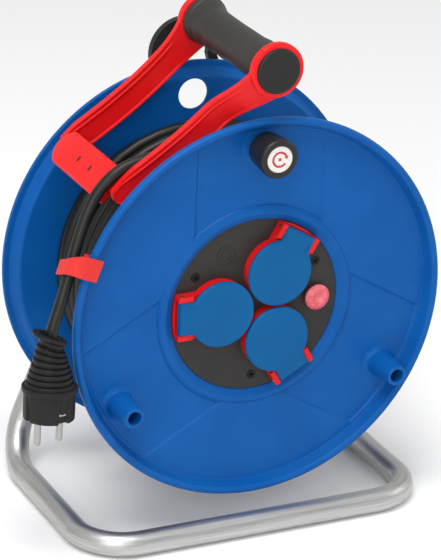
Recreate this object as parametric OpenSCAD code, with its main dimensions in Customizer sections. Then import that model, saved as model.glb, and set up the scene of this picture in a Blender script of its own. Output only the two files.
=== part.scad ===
// Extension cord reel on a bent tube frame, with three lidded sockets in the drum front.
// Millimetres. +Z is up, -Y is the front. The origin is on the floor, under the middle of the frame.
// Inside the modules, "s" is a distance along the drum axis from the drum's middle plane,
// positive towards the front, and angles run counter-clockwise from +X as seen from the front.

/* [Drum] */
// Diameter over the flange rims
drum_d = 290; // [260:1:340]
// Width over the two flange rims
drum_w = 140; // [128:1:170]
// How far a flange face lies inside its rim plane
face_recess = 9.5; // [8:0.5:12]
// Flange wall
flange_wall = 3.4; // [3:0.1:4]
// Outer diameter of the winding barrel
barrel_d = 150; // [146:1:156]
// Barrel wall
barrel_wall = 3; // [2.5:0.1:4]
// Width of each of the three sunk panels on a flange
panel_w = 102; // [80:1:120]
// Depth of the sunk panels
panel_sink = 1.5; // [0.8:0.1:1.7]
// Distance of the knob and the two foot bosses from the drum axis
boss_r = 121; // [108:1:125]
// How far the bosses and the knob stand out from the rim plane
boss_out = 18; // [12:1:24]
// Diameter of the round hole in the rear flange
rear_hole_d = 23.5; // [16:0.5:26]

/* [Socket plate] */
// Diameter of the socket plate
plate_d = 131; // [126:1:136]
// Socket plate thickness
plate_t = 3; // [2.5:0.1:4]
// Depth of the plate's face below the rim plane
plate_sink = 12; // [10:0.5:14]
// Distance of the sockets from the drum axis
socket_r = 29.8; // [29:0.1:31]
// Diameter of a socket lid
lid_d = 50; // [46:0.5:50]
// Lid thickness
lid_t = 3.5; // [2.5:0.1:4]
// Bore of a socket well
well_d = 39; // [37:0.5:40]
// Depth of a socket well
well_depth = 17.5; // [14:0.5:19]
// Distance between the two live contacts
contact_pitch = 19; // [17:0.5:20]
// Widest opening of a lid, in degrees
lid_open = 110; // [90:1:115]
// Diameter of the reset button cap
button_d = 19.6; // [14:0.2:20]
// Travel of the reset button
button_travel = 2; // [1:0.1:3]

/* [Knob] */
// Diameter of the winding knob at its end
knob_d = 29; // [24:0.5:32]
// Diameter of the knob's pin
knob_pin_d = 8; // [6:0.5:10]

/* [Axle] */
// Axle diameter
axle_d = 16; // [12:0.5:20]
// Wall of the bearing bushes
bush_wall = 4; // [2:0.5:5]

/* [Tube frame] */
// Outer diameter of the frame tube
tube_d = 18; // [15:0.5:22]
// Tube wall
tube_wall = 1.5; // [1:0.1:2.5]
// Half the distance between the two floor rails
rail_x = 132; // [120:1:150]
// From the drum's front edge to the middle of the tube across the front
bar_gap = 14; // [10:1:30]
// From the drum's rear edge to the middle of the legs
leg_gap = 16; // [15:1:30]
// Height of the drum axis above the floor
axis_h = 171; // [168:1:200]
// Inward lean of a leg, millimetres for each millimetre of height
leg_lean = 0.41; // [0.36:0.01:0.42]
// Centre line radius of the front bends
front_bend = 36.5; // [30:0.5:50]
// Centre line radius of the rear bends
rear_bend = 38; // [30:0.5:48]

/* [Handle] */
// Height of the grip above the drum axis
grip_h = 183; // [180:1:200]
// Grip diameter
grip_d = 30; // [26:0.5:32]
// Diameter of the bolt inside the grip
grip_bolt_d = 10; // [8:0.5:12]
// From the drum's front edge to the front of the grip's cap
grip_over = 11; // [6:1:20]
// Distance of the rear guide arm behind the drum's middle plane
arm_back = 44; // [40:1:46]
// Thickness of a guide arm
arm_t = 5; // [4:0.5:6]
// Half the width of a guide arm
arm_half = 11; // [9:0.5:12]

/* [Cable] */
// Cable diameter
cable_d = 8.5; // [7.5:0.1:9.5]
// Outer radius of the wound cable
winding_r = 110; // [100:1:112]
// Diameter of the plug body
plug_d = 36.5; // [34:0.5:38]
// Diameter of a plug pin
plug_pin_d = 4.8; // [4:0.1:5]
// Length of a plug pin
plug_pin_l = 19; // [17:0.5:20]

/* [Hidden] */
$fn = 96;

gap = 0.3;          // between pieces that move past each other
seat_gap = 0.15;    // between pieces that sit in each other
fit = 0.05;         // radial clearance of a running fit

drum_r = drum_d / 2;
half_w = drum_w / 2;
face_s = half_w - face_recess;
inner_s = face_s - flange_wall;
rim_h = 5;          // height of the rolled rim
rim_in = drum_r - 5.2;
bevel_r = drum_r - 8.5;
barrel_r = barrel_d / 2;
barrel_in = barrel_r - barrel_wall;
panel_top = drum_r - 9;
ring_r = barrel_r + 1;
boss_end = half_w + boss_out;

plate_r = plate_d / 2;
plate_s = half_w - plate_sink;
plate_back = plate_s - plate_t;
gasket_t = 1;
seat_w = 4;         // width of the ledge that carries the socket plate
plate_screw_r = plate_r - 10.5;
socket_angles = [180, 60, 300];
screw_angles = [150, 30, 270];

lid_r = lid_d / 2;
lid_front = half_w - 1.5;
lid_back = lid_front - lid_t;
seal_t = 0.9;
socket_top = lid_back - seal_t - 0.1;
socket_out = lid_r - 0.7;
well_floor = socket_top - well_depth;
socket_floor_t = 3;
hinge_u = socket_r + lid_r + 5.2;
hinge_s = lid_back - 1.5;
hinge_pin_r = 1.5;
knuckle_r = 3.1;
tongue_half = 12.4;
ear_in = tongue_half + 0.4;
ear_out = ear_in + 4;
ear_start = socket_r + sqrt(pow(lid_r, 2) - pow(ear_in, 2)) + 0.8;
spring_half = 4.5;  // half the length of the slot for a lid spring

button_x = plate_r - 16.5;
button_base = plate_s + button_travel + gap;
button_top = button_base + 4;
stem_r = 3;
spring_seat = plate_s - 9;

knob_r = knob_d / 2;
knob_pin_r = knob_pin_d / 2;
knob_boss_top = face_s + 3;
knob_floor = boss_end - 6.5;
knob_well_r = knob_r - 4.7;

axle_r = axle_d / 2;
bush_r = axle_r + bush_wall;
hub_r = bush_r + 4;
bush_flange_r = bush_r + 4;
bush_flange_t = 2;
web_s = 14;         // how far the barrel's inner web lies behind the middle plane
hub_len = 14;

bar_s = half_w + bar_gap;
leg_back = half_w + leg_gap;
grip_front = half_w + grip_over;
tube_r = tube_d / 2;
tube_z = tube_r - axis_h;
lean_angle = atan(leg_lean);
bracket_front = half_w + 4;
bracket_back = leg_back + tube_r + 3;
bracket_wall = 3;
leg_top_z = grip_h - 107;   // the legs end inside the bracket's sleeves
yoke_low = -26;     // foot of the bracket, measured from the drum axis
yoke_high = 26;     // top of the bracket's cross member
arch_z = grip_h - 34.5;     // middle of the arch's round top
arch_r = 27;
arch_w = 8;
arch_t = 6;
sleeve_top = leg_top_z + 20;
grip_r = grip_d / 2;
bolt_r = grip_bolt_d / 2;
nose_front = arm_back + arm_t;
nose_r = 12;
eye_r = grip_r + 5;
eye_s = grip_front - 3 - arm_t;
arm_s = inner_s - 0.8;

cable_r = cable_d / 2;
crossbar_r = 151.5;
crossbar_angle = 137.5;
crossbar_half = 14;
crossbar_t = 11;
crossbar_front = arm_s - arm_t - cable_d - 2;

front_reach = bar_s + tube_r;
drum_y = (front_reach - bracket_back) / 2;

// Guide arm centre line, as control points in X and Z from the drum axis.
arm_end = (crossbar_r - 7.8) * [cos(crossbar_angle), sin(crossbar_angle)];
arm_curve = [[0, grip_h], [-28, grip_h - 34], arm_end + [44, 25], arm_end];

// Cable from the winding to the plug, as X, Y, Z from the drum centre.
lead_points = [[-6, -44, 118], [-30, -45, 119], [-60, -46, 119], [-86, -46.4, 117],
               [-104, -46.4, 111], [-118, -46.4, 99], [-128, -48, 83], [-136, -52, 66],
               [-143, -56, 47], [-150, -60.5, 30], [-155.5, -64, 18], [-160.3, -66.5, 7], [-160.9, -67.1, -2]];
plug_foot = [-163.5, -71, -57];
plug_tilt = [-3.3, 3.6, 14];
plug_body_h = 20;
plug_pin_root_r = plug_pin_d / 2 - 0.4;   // the part of a pin inside the body

// Cord clip, seen along the rim at its middle.
clip_angle = 160;
clip_w = 16;
clip_t = 1.8;

// ---------- helpers ----------
module at_drum() { translate([0, drum_y, axis_h]) children(); }
// A flat shape drawn in X and Z, from s0 to s1.
module slab(s0, s1) { rotate([90, 0, 0]) translate([0, 0, s0]) linear_extrude(s1 - s0) children(); }
module disc(r, s0, s1) { rotate([90, 0, 0]) translate([0, 0, s0]) cylinder(r = r, h = s1 - s0); }
module cone(r0, r1, s0, s1) { rotate([90, 0, 0]) translate([0, 0, s0]) cylinder(r1 = r0, r2 = r1, h = s1 - s0); }
module ring(r_in, r_out, s0, s1) {
    difference() {
        disc(r_out, s0, s1);
        disc(r_in, s0 - 1, s1 + 1);
    }
}
// A profile of [radius, s] points turned about the drum axis.
module turned(points) { rotate([90, 0, 0]) rotate_extrude() polygon(points); }
module turn(angle) { rotate([0, -angle, 0]) children(); }
module out_to(r, angle) { turn(angle) translate([r, 0, 0]) children(); }
// A block given by its low and high corners in u (outwards), v (sideways) and s.
module block(u, v, s) {
    translate([u[0], -s[1], v[0]]) cube([u[1] - u[0], s[1] - s[0], v[1] - v[0]]);
}
// A cylinder along v, centred on the drum plane through u and s.
module cross_pin(r, u, s, v0, v1) { translate([u, -s, v0]) cylinder(r = r, h = v1 - v0); }

function bezier(p, t) = pow(1 - t, 3) * p[0] + 3 * t * pow(1 - t, 2) * p[1]
                      + 3 * t * t * (1 - t) * p[2] + pow(t, 3) * p[3];
function unit(v) = v / norm(v);
function side(p, t) = let(d = unit(bezier(p, min(t + 0.01, 1)) - bezier(p, min(t + 0.01, 1) - 0.02)))
    [-d[1], d[0]];
function arm_edge(half, from, to, way) = [for (i = [0 : 12]) let(t = from + (to - from) * i / 12)
    bezier(arm_curve, t) + way * half * side(arm_curve, t)];
function reversed(list) = [for (i = [len(list) - 1 : -1 : 0]) list[i]];
module arm_outline(half, from, to) {
    polygon(concat(arm_edge(half, from, to, 1), reversed(arm_edge(half, from, to, -1))));
}

// ---------- tube frame ----------
// One bent tube: down the left leg, forwards, across the front, back and up the right leg.
module tube_path(r, extra) {
    bend_y = leg_back - rear_bend;
    leg_len = (leg_top_z - tube_z) / cos(lean_angle) - rear_bend + extra;
    translate([0, 0, tube_z]) {
        translate([front_bend - rail_x, -bar_s, 0]) rotate([0, 90, 0])
            cylinder(r = r, h = 2 * (rail_x - front_bend));
        for (way = [-1, 1]) {
            translate([way * rail_x, front_bend - bar_s, 0]) rotate([-90, 0, 0])
                cylinder(r = r, h = bend_y + bar_s - front_bend);
            translate([way * (rail_x - front_bend), front_bend - bar_s, 0])
                rotate([0, 0, way > 0 ? -90 : 180])
                rotate_extrude(angle = 90) translate([front_bend, 0]) circle(r = r);
            translate([way * rail_x, 0, 0]) rotate([0, -way * lean_angle, 0]) {
                translate([0, bend_y, rear_bend]) rotate([0, 90, 0])
                    rotate_extrude(angle = 90) translate([rear_bend, 0]) circle(r = r);
                translate([0, leg_back, rear_bend]) cylinder(r = r, h = leg_len);
            }
        }
    }
}
module tube_frame() {
    color("silver") at_drum() difference() {
        tube_path(tube_r, 0);
        tube_path(tube_r - tube_wall, 1);
    }
}

// ---------- rear bracket, a two-part clamp on the legs ----------
function leg_x(z) = rail_x - leg_lean * (z - tube_z);
function leg_half() = (tube_r + bracket_wall) / cos(lean_angle);
function window_x(z) = max(4, leg_x(z) - leg_half() - 1);
function both_sides(p) = concat(p, [for (q = reversed(p)) [-q[0], q[1]]]);
function arch_side(r) = [for (a = [-10 : 5 : 90]) [r * cos(a), arch_z + r * sin(a)]];
// Sleeves for the legs joined by a cross member, and an arch from their tops up to the grip.
module bracket_outline() {
    foot = leg_top_z - 16;
    shoulder = leg_x(leg_top_z) + 10;
    difference() {
        polygon(both_sides(concat([[leg_x(yoke_low) + leg_half(), yoke_low], [leg_x(foot) + leg_half(), foot],
                                   [shoulder, sleeve_top]], arch_side(arch_r))));
        polygon(both_sides(concat([[window_x(yoke_high), yoke_high], [window_x(leg_top_z + 6), leg_top_z + 6],
                                   [shoulder - 12, sleeve_top]], arch_side(arch_r - arch_w))));
        translate([0, yoke_low - 44]) circle(r = 62);
    }
}
module sleeves_outline(inset) {
    offset(delta = -inset) intersection() {
        bracket_outline();
        translate([-rail_x, yoke_low]) square([2 * rail_x, sleeve_top - yoke_low]);
    }
}
module leg_grooves(clear) {
    for (way = [-1, 1])
        translate([way * rail_x, leg_back, tube_z]) rotate([0, -way * lean_angle, 0])
            cylinder(r = tube_r + clear, h = (leg_top_z - tube_z) / cos(lean_angle) + 1);
}
top_screw_x = leg_x(leg_top_z) + 2;
bracket_screw_spots = [[-top_screw_x, leg_top_z + 11], [top_screw_x, leg_top_z + 11], [0, yoke_high - 6],
                       [-leg_x(yoke_high) + 24, yoke_high - 6], [leg_x(yoke_high) - 24, yoke_high - 6]];
nut_pocket_r = bolt_r + 4;
module rear_bracket() {
    color("dimgray") at_drum() difference() {
        union() {
            difference() {
                slab(-leg_back, -bracket_front) bracket_outline();
                slab(-leg_back - 1, -bracket_front - arch_t)
                    translate([-rail_x, sleeve_top]) square([2 * rail_x, grip_h]);
            }
            disc(hub_r + 4, -bracket_front - 1, -face_s - bush_flange_t - 2);
            hull() {
                on_grip() disc(nose_r, -nose_front - 7, -nose_front, $fn = 32);
                translate([0, 0, arch_z + arch_r - arch_w]) disc(arch_w - 1, -bracket_front - 2, -bracket_front, $fn = 32);
            }
        }
        leg_grooves(seat_gap);
        disc(axle_r, -leg_back - 1, 0);
        on_grip() disc(bolt_r + fit, -bracket_back, 0);
        on_grip() disc(nut_pocket_r, -bracket_back, -nose_front - 4);
        for (p = bracket_screw_spots)
            translate([p[0], 0, p[1]]) disc(2, -leg_back - 1, -bracket_front - 2);
    }
}
module bracket_cover() {
    color("dimgray") at_drum() difference() {
        union() {
            slab(-bracket_back, -leg_back) sleeves_outline(1.5);
            disc(axle_r + 12, -bracket_back, -leg_back);
        }
        leg_grooves(seat_gap);
        disc(axle_r, -bracket_back - 1, 0);
        disc(axle_r + 5.2, -bracket_back - 1, -bracket_back + 4);
        for (p = bracket_screw_spots) translate([p[0], 0, p[1]]) {
            disc(2.5 + seat_gap, -bracket_back - 1, -leg_back + 1);
            disc(4.6, -bracket_back - 1, -bracket_back + 3.4);
        }
    }
}
module bracket_screws() {
    color("lightgray") at_drum() for (p = bracket_screw_spots) translate([p[0], 0, p[1]])
        difference() {
            union() {
                disc(2, -leg_back, -bracket_front - 2.5);
                disc(2.5, -bracket_back + 3, -leg_back);
                disc(4.3, -bracket_back + 0.6, -bracket_back + 3.4);
            }
            slab(-bracket_back, -bracket_back + 2.4) square([1.1, 5], center = true);
            slab(-bracket_back, -bracket_back + 2.4) square([5, 1.1], center = true);
        }
}

// ---------- axle and bearings ----------
front_bush_mouth = -web_s;
axle_tip = front_bush_mouth + bush_flange_t + 5.3;
module axle() {
    color("silver") at_drum() difference() {
        union() {
            disc(axle_r, -bracket_back + 1, axle_tip);
            disc(axle_r + 5, -bracket_back + 0.5, -bracket_back + 4);
        }
        ring(axle_r - 0.8, axle_r + 1, axle_tip - 3.2, axle_tip - 2);
    }
}
module thrust_washer() {
    color("white") at_drum() ring(axle_r + fit, hub_r + 3, -face_s - bush_flange_t - 2 + 0.05, -face_s - bush_flange_t - gap);
}
module axle_washer() {
    color("silver") at_drum() ring(axle_r + fit, bush_flange_r - 1, axle_tip - 5, axle_tip - 3.4);
}
module axle_circlip() {
    color("dimgray") at_drum() difference() {
        ring(axle_r - 0.75, axle_r + 2.6, axle_tip - 3.15, axle_tip - 2.05);
        block([-3.5, 3.5], [0, axle_r + 4], [axle_tip - 4, axle_tip - 1]);
    }
}
// The rear bush is pushed in from behind the drum, the front one from inside the barrel.
module bush(mouth, way) {
    deep = mouth - way * (hub_len - 1);
    flange = mouth + way * bush_flange_t;
    difference() {
        union() {
            disc(bush_r - fit, min(deep, mouth), max(deep, mouth));
            disc(bush_flange_r, min(mouth, flange), max(mouth, flange));
        }
        disc(axle_r + fit, -face_s - 20, 20);
    }
}
module hub_bushes() {
    color("ivory") at_drum() {
        bush(-face_s, -1);
        bush(front_bush_mouth, 1);
    }
}

// ---------- drum ----------
// Flange wall from the inner edge out to the rolled rim, for s > 0.
module flange_wall_shape(hole) {
    turned([[hole, inner_s], [bevel_r - 1, inner_s], [rim_in, half_w - rim_h], [drum_r - 0.8, half_w - rim_h],
            [drum_r, half_w - rim_h + 0.8], [drum_r, half_w - 1.4], [drum_r - 1.4, half_w],
            [rim_in + 1.2, half_w], [rim_in - 0.4, half_w - 1], [bevel_r, face_s], [hole, face_s]]);
}
// Three parallel-sided panels sunk into the face, with sloping edges.
module panels() {
    low = panel_w / 2 - panel_sink;
    high = panel_w / 2 + 1;
    for (a = [90, 210, 330]) turn(a) intersection() {
        rotate([0, 90, 0]) rotate([0, 0, -90]) linear_extrude(panel_top + 5)
            polygon([[face_s - panel_sink, low], [face_s + 1, high], [face_s + 1, -high], [face_s - panel_sink, -low]]);
        turned([[ring_r + panel_sink, face_s - panel_sink], [panel_top - 2, face_s - panel_sink],
                [panel_top + 1, face_s + 1.5], [ring_r - 1, face_s + 1]]);
    }
}
gland_angle = 215;
gland_s = inner_s - cable_r - 11;
rear_screw_r = barrel_in - 8;
rear_screw_angles = [45, 135, 225, 315];
module drum_front() {
    color([0.07, 0.36, 0.66]) at_drum() difference() {
        union() {
            difference() {
                flange_wall_shape(plate_r + seat_gap);
                panels();
            }
            turned([[plate_r + seat_gap, inner_s], [ring_r, inner_s], [ring_r, face_s],
                    [plate_r + 5, face_s + 1], [plate_r + seat_gap, plate_s + 0.6]]);
            ring(plate_r - seat_w, barrel_in + 0.5, plate_back - gasket_t - 3, plate_back - gasket_t);
            ring(plate_r + seat_gap, barrel_in + 0.5, plate_back - gasket_t - 0.5, inner_s + 0.5);
            ring(barrel_in, barrel_r, -inner_s, inner_s + 0.5);
            ring(bush_r, barrel_in + 0.5, -web_s - 3, -web_s);
            ring(bush_r, hub_r, front_bush_mouth - hub_len, front_bush_mouth);
            for (a = screw_angles) out_to(plate_screw_r, a) disc(4, plate_back - gasket_t - 14, plate_back - gasket_t);
            for (a = screw_angles) turn(a)
                block([plate_screw_r, barrel_in + 0.5], [-1.5, 1.5], [plate_back - gasket_t - 14, plate_back - gasket_t - 1]);
            for (a = rear_screw_angles) out_to(rear_screw_r, a) disc(4.5, 12 - inner_s, 30 - inner_s);
            for (a = rear_screw_angles) turn(a)
                block([rear_screw_r, barrel_in + 0.5], [-1.5, 1.5], [14 - inner_s, 30 - inner_s]);
            for (a = [210, 330]) out_to(boss_r, a) cone(9.4, 7.5, inner_s + 0.5, boss_end);
            out_to(boss_r, 90) cone(knob_pin_r + 5, knob_pin_r + 4, inner_s + 0.5, knob_boss_top);
        }
        for (a = screw_angles) out_to(plate_screw_r, a) disc(1.6, plate_back - gasket_t - 12, plate_s);
        for (a = rear_screw_angles) out_to(rear_screw_r, a) disc(1.7, 11 - inner_s, 28 - inner_s);
        for (a = [210, 330]) out_to(boss_r, a) disc(5, inner_s - 2, boss_end + 1);
        out_to(boss_r, 90) disc(knob_pin_r, inner_s - 1, knob_boss_top + 1);
        turn(gland_angle) translate([barrel_in - 2, -gland_s, 0]) rotate([0, 90, 0]) cylinder(r = cable_r + 1.8, h = 8);
    }
}
module drum_rear() {
    color([0.07, 0.33, 0.62]) at_drum() difference() {
        union() {
            mirror([0, 1, 0]) difference() {
                flange_wall_shape(bush_r);
                panels();
            }
            ring(bush_r, hub_r, -face_s, hub_len - face_s);
            ring(barrel_in - 3.2, barrel_in - seat_gap, -inner_s - 0.5, 7 - inner_s);
            for (a = rear_screw_angles) out_to(rear_screw_r, a) disc(4.5, -inner_s - 0.5, 12 - inner_s - 0.1);
            for (a = [0 : 60 : 300]) turn(a)
                block([hub_r - 0.5, barrel_in - 3], [-1.2, 1.2], [-inner_s - 0.5, 6 - inner_s]);
        }
        for (a = rear_screw_angles) out_to(rear_screw_r, a) {
            disc(2.3, -face_s - 1, 13 - inner_s);
            disc(4, -face_s - 1, -face_s + 2.2);
        }
        out_to(boss_r + 1, 90) disc(rear_hole_d / 2, -face_s - 1, 1 - inner_s);
    }
}
module drum_screws() {
    color("lightgray") at_drum() for (a = rear_screw_angles) out_to(rear_screw_r, a) difference() {
        union() {
            disc(1.7, 12 - inner_s, 26 - inner_s);
            disc(2.1, 1.5 - face_s, 12 - inner_s);
            disc(3.8, -face_s + 0.1, -face_s + 2.2);
        }
        slab(-face_s - 1, -face_s + 1.4) square([0.9, 4.4], center = true);
        slab(-face_s - 1, -face_s + 1.4) square([4.4, 0.9], center = true);
    }
}
// Bush in the barrel wall that the cable leaves the drum through.
module cable_gland() {
    color("dimgray") at_drum() turn(gland_angle) translate([barrel_in - 3.2, -gland_s, 0]) rotate([0, 90, 0])
        difference() {
            union() {
                cylinder(r = cable_r + 1.8 - fit, h = barrel_wall + 3.1);
                cylinder(r = cable_r + 4, h = 2.4);
            }
            translate([0, 0, -1]) cylinder(r = cable_r, h = barrel_wall + 5);
        }
}

// ---------- socket plate and what it carries ----------
module plate_gasket() {
    color("black") at_drum() difference() {
        ring(plate_r - seat_w, plate_r, plate_back - gasket_t, plate_back);
        for (a = screw_angles) out_to(plate_screw_r, a) disc(4.2, plate_back - 2, plate_s);
    }
}
module socket_plate() {
    color([0.17, 0.17, 0.16]) at_drum() difference() {
        union() {
            disc(plate_r, plate_back, plate_s);
            out_to(plate_r - 18, 120) ring(6.6, 7.4, plate_s - 0.5, plate_s + 0.4);
            out_to(plate_r - 18, 120) ring(3.2, 3.9, plate_s - 0.5, plate_s + 0.4);
        }
        for (a = socket_angles) out_to(socket_r, a) disc(socket_out - 1.5 + seat_gap, plate_back - 1, plate_s + 1);
        for (a = screw_angles) out_to(plate_screw_r, a) {
            disc(2.2, plate_back - 1, plate_s + 1);
            disc(3.6, plate_s - 1.6, plate_s + 1);
        }
        translate([button_x, 0, 0]) disc(stem_r + 1.2, plate_back - 1, plate_s + 1);
    }
}
module plate_screws() {
    color("dimgray") at_drum() for (a = screw_angles) out_to(plate_screw_r, a) difference() {
        union() {
            disc(1.6, plate_back - 11, plate_back);
            disc(2, plate_back, plate_s - 1.6);
            disc(3.4, plate_s - 1.6, plate_s + 0.3);
        }
        slab(plate_s - 1, plate_s + 1) square([0.9, 4], center = true);
        slab(plate_s - 1, plate_s + 1) square([4, 0.9], center = true);
    }
}
// One socket: a cup with the well, a collar on the plate and two ears for the lid hinge.
module socket_unit() {
    difference() {
        union() {
            translate([socket_r, 0, 0]) disc(socket_out - 1.5, well_floor - socket_floor_t, plate_s + 0.1);
            translate([socket_r, 0, 0]) disc(socket_out, plate_s, socket_top);
            intersection() {
                union() {
                    block([socket_r + socket_out - 6, hinge_u + 5], [-ear_out, ear_out], [plate_s, plate_s + 1.2]);
                    block([hinge_u + 3.4, hinge_u + 5], [-ear_out, ear_out], [plate_s, plate_s + 2.4]);
                    for (way = [-1, 1]) {
                        v = way > 0 ? [ear_in, ear_out] : [-ear_out, -ear_in];
                        block([socket_r + socket_out - 9, hinge_u + 3.4], v, [plate_s, socket_top]);
                        block([ear_start, hinge_u + 3.4], v, [plate_s, hinge_s + 2.8]);
                    }
                }
                disc(plate_r - gap, plate_s, half_w);
            }
        }
        translate([socket_r, 0, 0]) disc(well_d / 2, well_floor, socket_top + 1);
        block([socket_r + socket_out - 3, hinge_u + 3.3], [-ear_in, ear_in], [plate_s + 1.2, socket_top + 1]);
        cross_pin(hinge_pin_r, hinge_u, hinge_s, -ear_out - 1, ear_out + 1);
        for (way = [-1, 1]) translate([socket_r, 0, way * contact_pitch / 2])
            disc(plug_pin_d / 2 + 1.2, well_floor - socket_floor_t - 1, well_floor + 1);
        for (way = [-1, 1]) translate([socket_r, 0, 0])
            block(way > 0 ? [well_d / 2 - 1.7, well_d / 2 + 1.1] : [-well_d / 2 - 1.1, 1.7 - well_d / 2], [-2.6, 2.6],
                  [well_floor - socket_floor_t - 1, socket_top - 2]);
    }
}
module socket_at(i) { color([0.86, 0.16, 0.14]) at_drum() turn(socket_angles[i]) socket_unit(); }
module socket_1() { socket_at(0); }
module socket_2() { socket_at(1); }
module socket_3() { socket_at(2); }
module contact_sleeves() {
    color("gold") at_drum() for (a = socket_angles) turn(a) for (way = [-1, 1])
        translate([socket_r, 0, way * contact_pitch / 2]) difference() {
            disc(plug_pin_d / 2 + 1.1, well_floor - 14, well_floor - 0.4);
            disc(plug_pin_d / 2 + 0.1, well_floor - 12, well_floor);
        }
}
// A strap under each socket with two springy arms that stand up at the sides of the well.
module earth_clips() {
    out = well_d / 2 + 0.9;
    color("silver") at_drum() for (a = socket_angles) turn(a) translate([socket_r, 0, 0]) {
        block([-out, out], [-2.2, 2.2], [well_floor - socket_floor_t - 1.2, well_floor - socket_floor_t - 0.2]);
        for (way = [-1, 1]) block(way > 0 ? [out - 1, out] : [-out, 1 - out], [-2.2, 2.2],
            [well_floor - socket_floor_t - 1.2, socket_top - 3]);
    }
}
terminal_s = well_floor - 15;
module terminal_block() {
    color("ivory") at_drum() difference() {
        block([-20, 20], [-13, 13], [terminal_s - 10, terminal_s]);
        for (u = [-12, 0, 12]) translate([u, 0, 0]) disc(3, terminal_s - 4, terminal_s + 1);
        for (u = [-12, 0, 12]) translate([u, terminal_s * -1 + 6, -14]) cylinder(r = 2.2, h = 28);
    }
}
module thermal_cutout() {
    color([0.15, 0.15, 0.15]) at_drum() difference() {
        translate([button_x, 0, 0]) {
            block([-9, 9], [-7, 7], [plate_back - 24, plate_back - 6]);
            ring(stem_r + 1.2, stem_r + 4, plate_back - 6.5, plate_back - 0.1);
        }
        translate([button_x, 0, 0]) disc(stem_r + 1.2, spring_seat, plate_back + 1);
        translate([button_x, 0, 0]) disc(stem_r + seat_gap, plate_back - 12, plate_back);
    }
}
module button_spring() {
    color("silver") at_drum() translate([button_x, 0, 0])
        ring(stem_r + 0.15, stem_r + 0.9, spring_seat, button_base);
}
module reset_button() {
    r = button_d / 2;
    color([0.93, 0.5, 0.55]) at_drum() translate([button_x, 0, 0]) {
        turned([[0, button_base], [r, button_base], [r, button_base + 1.6], [r - 1.2, button_base + 3.2],
                [r - 3.2, button_top], [r - 5, button_top - 0.3], [3, button_top - 1.2], [0, button_top - 1.4]]);
        disc(stem_r, plate_back - 8, button_base + 0.5);
    }
}

// ---------- socket lids ----------
module lid_unit() {
    difference() {
        union() {
            translate([socket_r, 0, 0]) disc(lid_r, lid_back, lid_front);
            block([socket_r + 14, hinge_u], [-tongue_half, tongue_half], [lid_back, lid_front]);
            cross_pin(knuckle_r, hinge_u, hinge_s, -tongue_half, tongue_half);
            block([hinge_u - 0.5 - knuckle_r + 0.5, hinge_u], [-tongue_half, tongue_half], [hinge_s, lid_front - 0.5]);
        }
        cross_pin(hinge_pin_r + fit, hinge_u, hinge_s, -20, 20);
        cross_pin(knuckle_r + 0.2, hinge_u, hinge_s, -spring_half - 0.3, spring_half + 0.3);
    }
}
module lid_at(i) { color([0.05, 0.42, 0.72]) at_drum() turn(socket_angles[i]) lid_unit(); }
module lid_1() { lid_at(0); }
module lid_2() { lid_at(1); }
module lid_3() { lid_at(2); }
module lid_seal_at(i) {
    color("black") at_drum() turn(socket_angles[i]) translate([socket_r, 0, 0])
        ring(well_d / 2 + 0.8, well_d / 2 + 3, lid_back - seal_t, lid_back);
}
module lid_seal_1() { lid_seal_at(0); }
module lid_seal_2() { lid_seal_at(1); }
module lid_seal_3() { lid_seal_at(2); }
module lid_pins() {
    color("gold") at_drum() for (a = socket_angles) turn(a)
        cross_pin(hinge_pin_r, hinge_u, hinge_s, -ear_out - 0.3, ear_out + 0.3);
}
module lid_springs() {
    color("silver") at_drum() for (a = socket_angles) turn(a) difference() {
        cross_pin(hinge_pin_r + 1, hinge_u, hinge_s, -spring_half, spring_half);
        cross_pin(hinge_pin_r + 0.1, hinge_u, hinge_s, -20, 20);
    }
}

// ---------- winding knob ----------
module knob_pin() {
    color("silver") at_drum() out_to(boss_r, 90) {
        disc(knob_pin_r, inner_s, knob_floor + 0.3);
        disc(knob_pin_r + 2.6, knob_floor + 0.3 + 1.2, knob_floor + 3.6);
        disc(knob_pin_r - 1, knob_floor, knob_floor + 2);
    }
}
module knob_washer() {
    color("silver") at_drum() out_to(boss_r, 90)
        ring(knob_pin_r - 1, knob_pin_r + 3.2, knob_floor + 0.3, knob_floor + 1.5);
}
module knob() {
    color([0.15, 0.15, 0.15]) at_drum() out_to(boss_r, 90) difference() {
        turned([[0, knob_boss_top + gap], [knob_r - 1.5, knob_boss_top + gap], [knob_r, boss_end - 2.5],
                [knob_r - 0.4, boss_end - 1], [knob_r - 1.6, boss_end], [0, boss_end]]);
        disc(knob_pin_r + fit, 0, boss_end);
        disc(knob_well_r, knob_floor, boss_end + 1);
    }
}
module knob_label() {
    color("white") at_drum() out_to(boss_r, 90) disc(knob_well_r - seat_gap, boss_end - 2.5, boss_end - 0.8);
}

// ---------- grip and cable guide ----------
module on_grip() { translate([0, 0, grip_h]) children(); }
module grip_bolt() {
    color("silver") at_drum() on_grip() {
        disc(bolt_r, -nose_front - 15, eye_s + 2);
        disc(bolt_r + 3.4, eye_s + 2, eye_s + arm_t);
    }
}
module grip_nut() {
    color("silver") at_drum() on_grip() difference() {
        disc(bolt_r + 3.7, -nose_front - 10.5, -nose_front - 4, $fn = 6);
        disc(bolt_r, -nose_front - 12, -nose_front);
    }
}
module grip_sleeve() {
    color([0.2, 0.2, 0.19]) at_drum() on_grip() difference() {
        turned([[0, -arm_back], [grip_r + 1.8, -arm_back], [grip_r + 2.3, 2 - arm_back], [grip_r + 1.8, 6 - arm_back],
                [grip_r, 10 - arm_back], [grip_r - 0.6, 0], [grip_r, eye_s - 6], [grip_r - 0.5, eye_s], [0, eye_s]]);
        disc(bolt_r + seat_gap, -arm_back - 1, eye_s + 1);
    }
}
module grip_cap() {
    color([0.2, 0.2, 0.19]) at_drum() on_grip() turned([[0, grip_front - 3], [grip_r + 1, grip_front - 3],
        [grip_r + 1, grip_front - 1], [grip_r, grip_front - 0.2], [grip_r - 2, grip_front], [0, grip_front]]);
}
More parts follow.
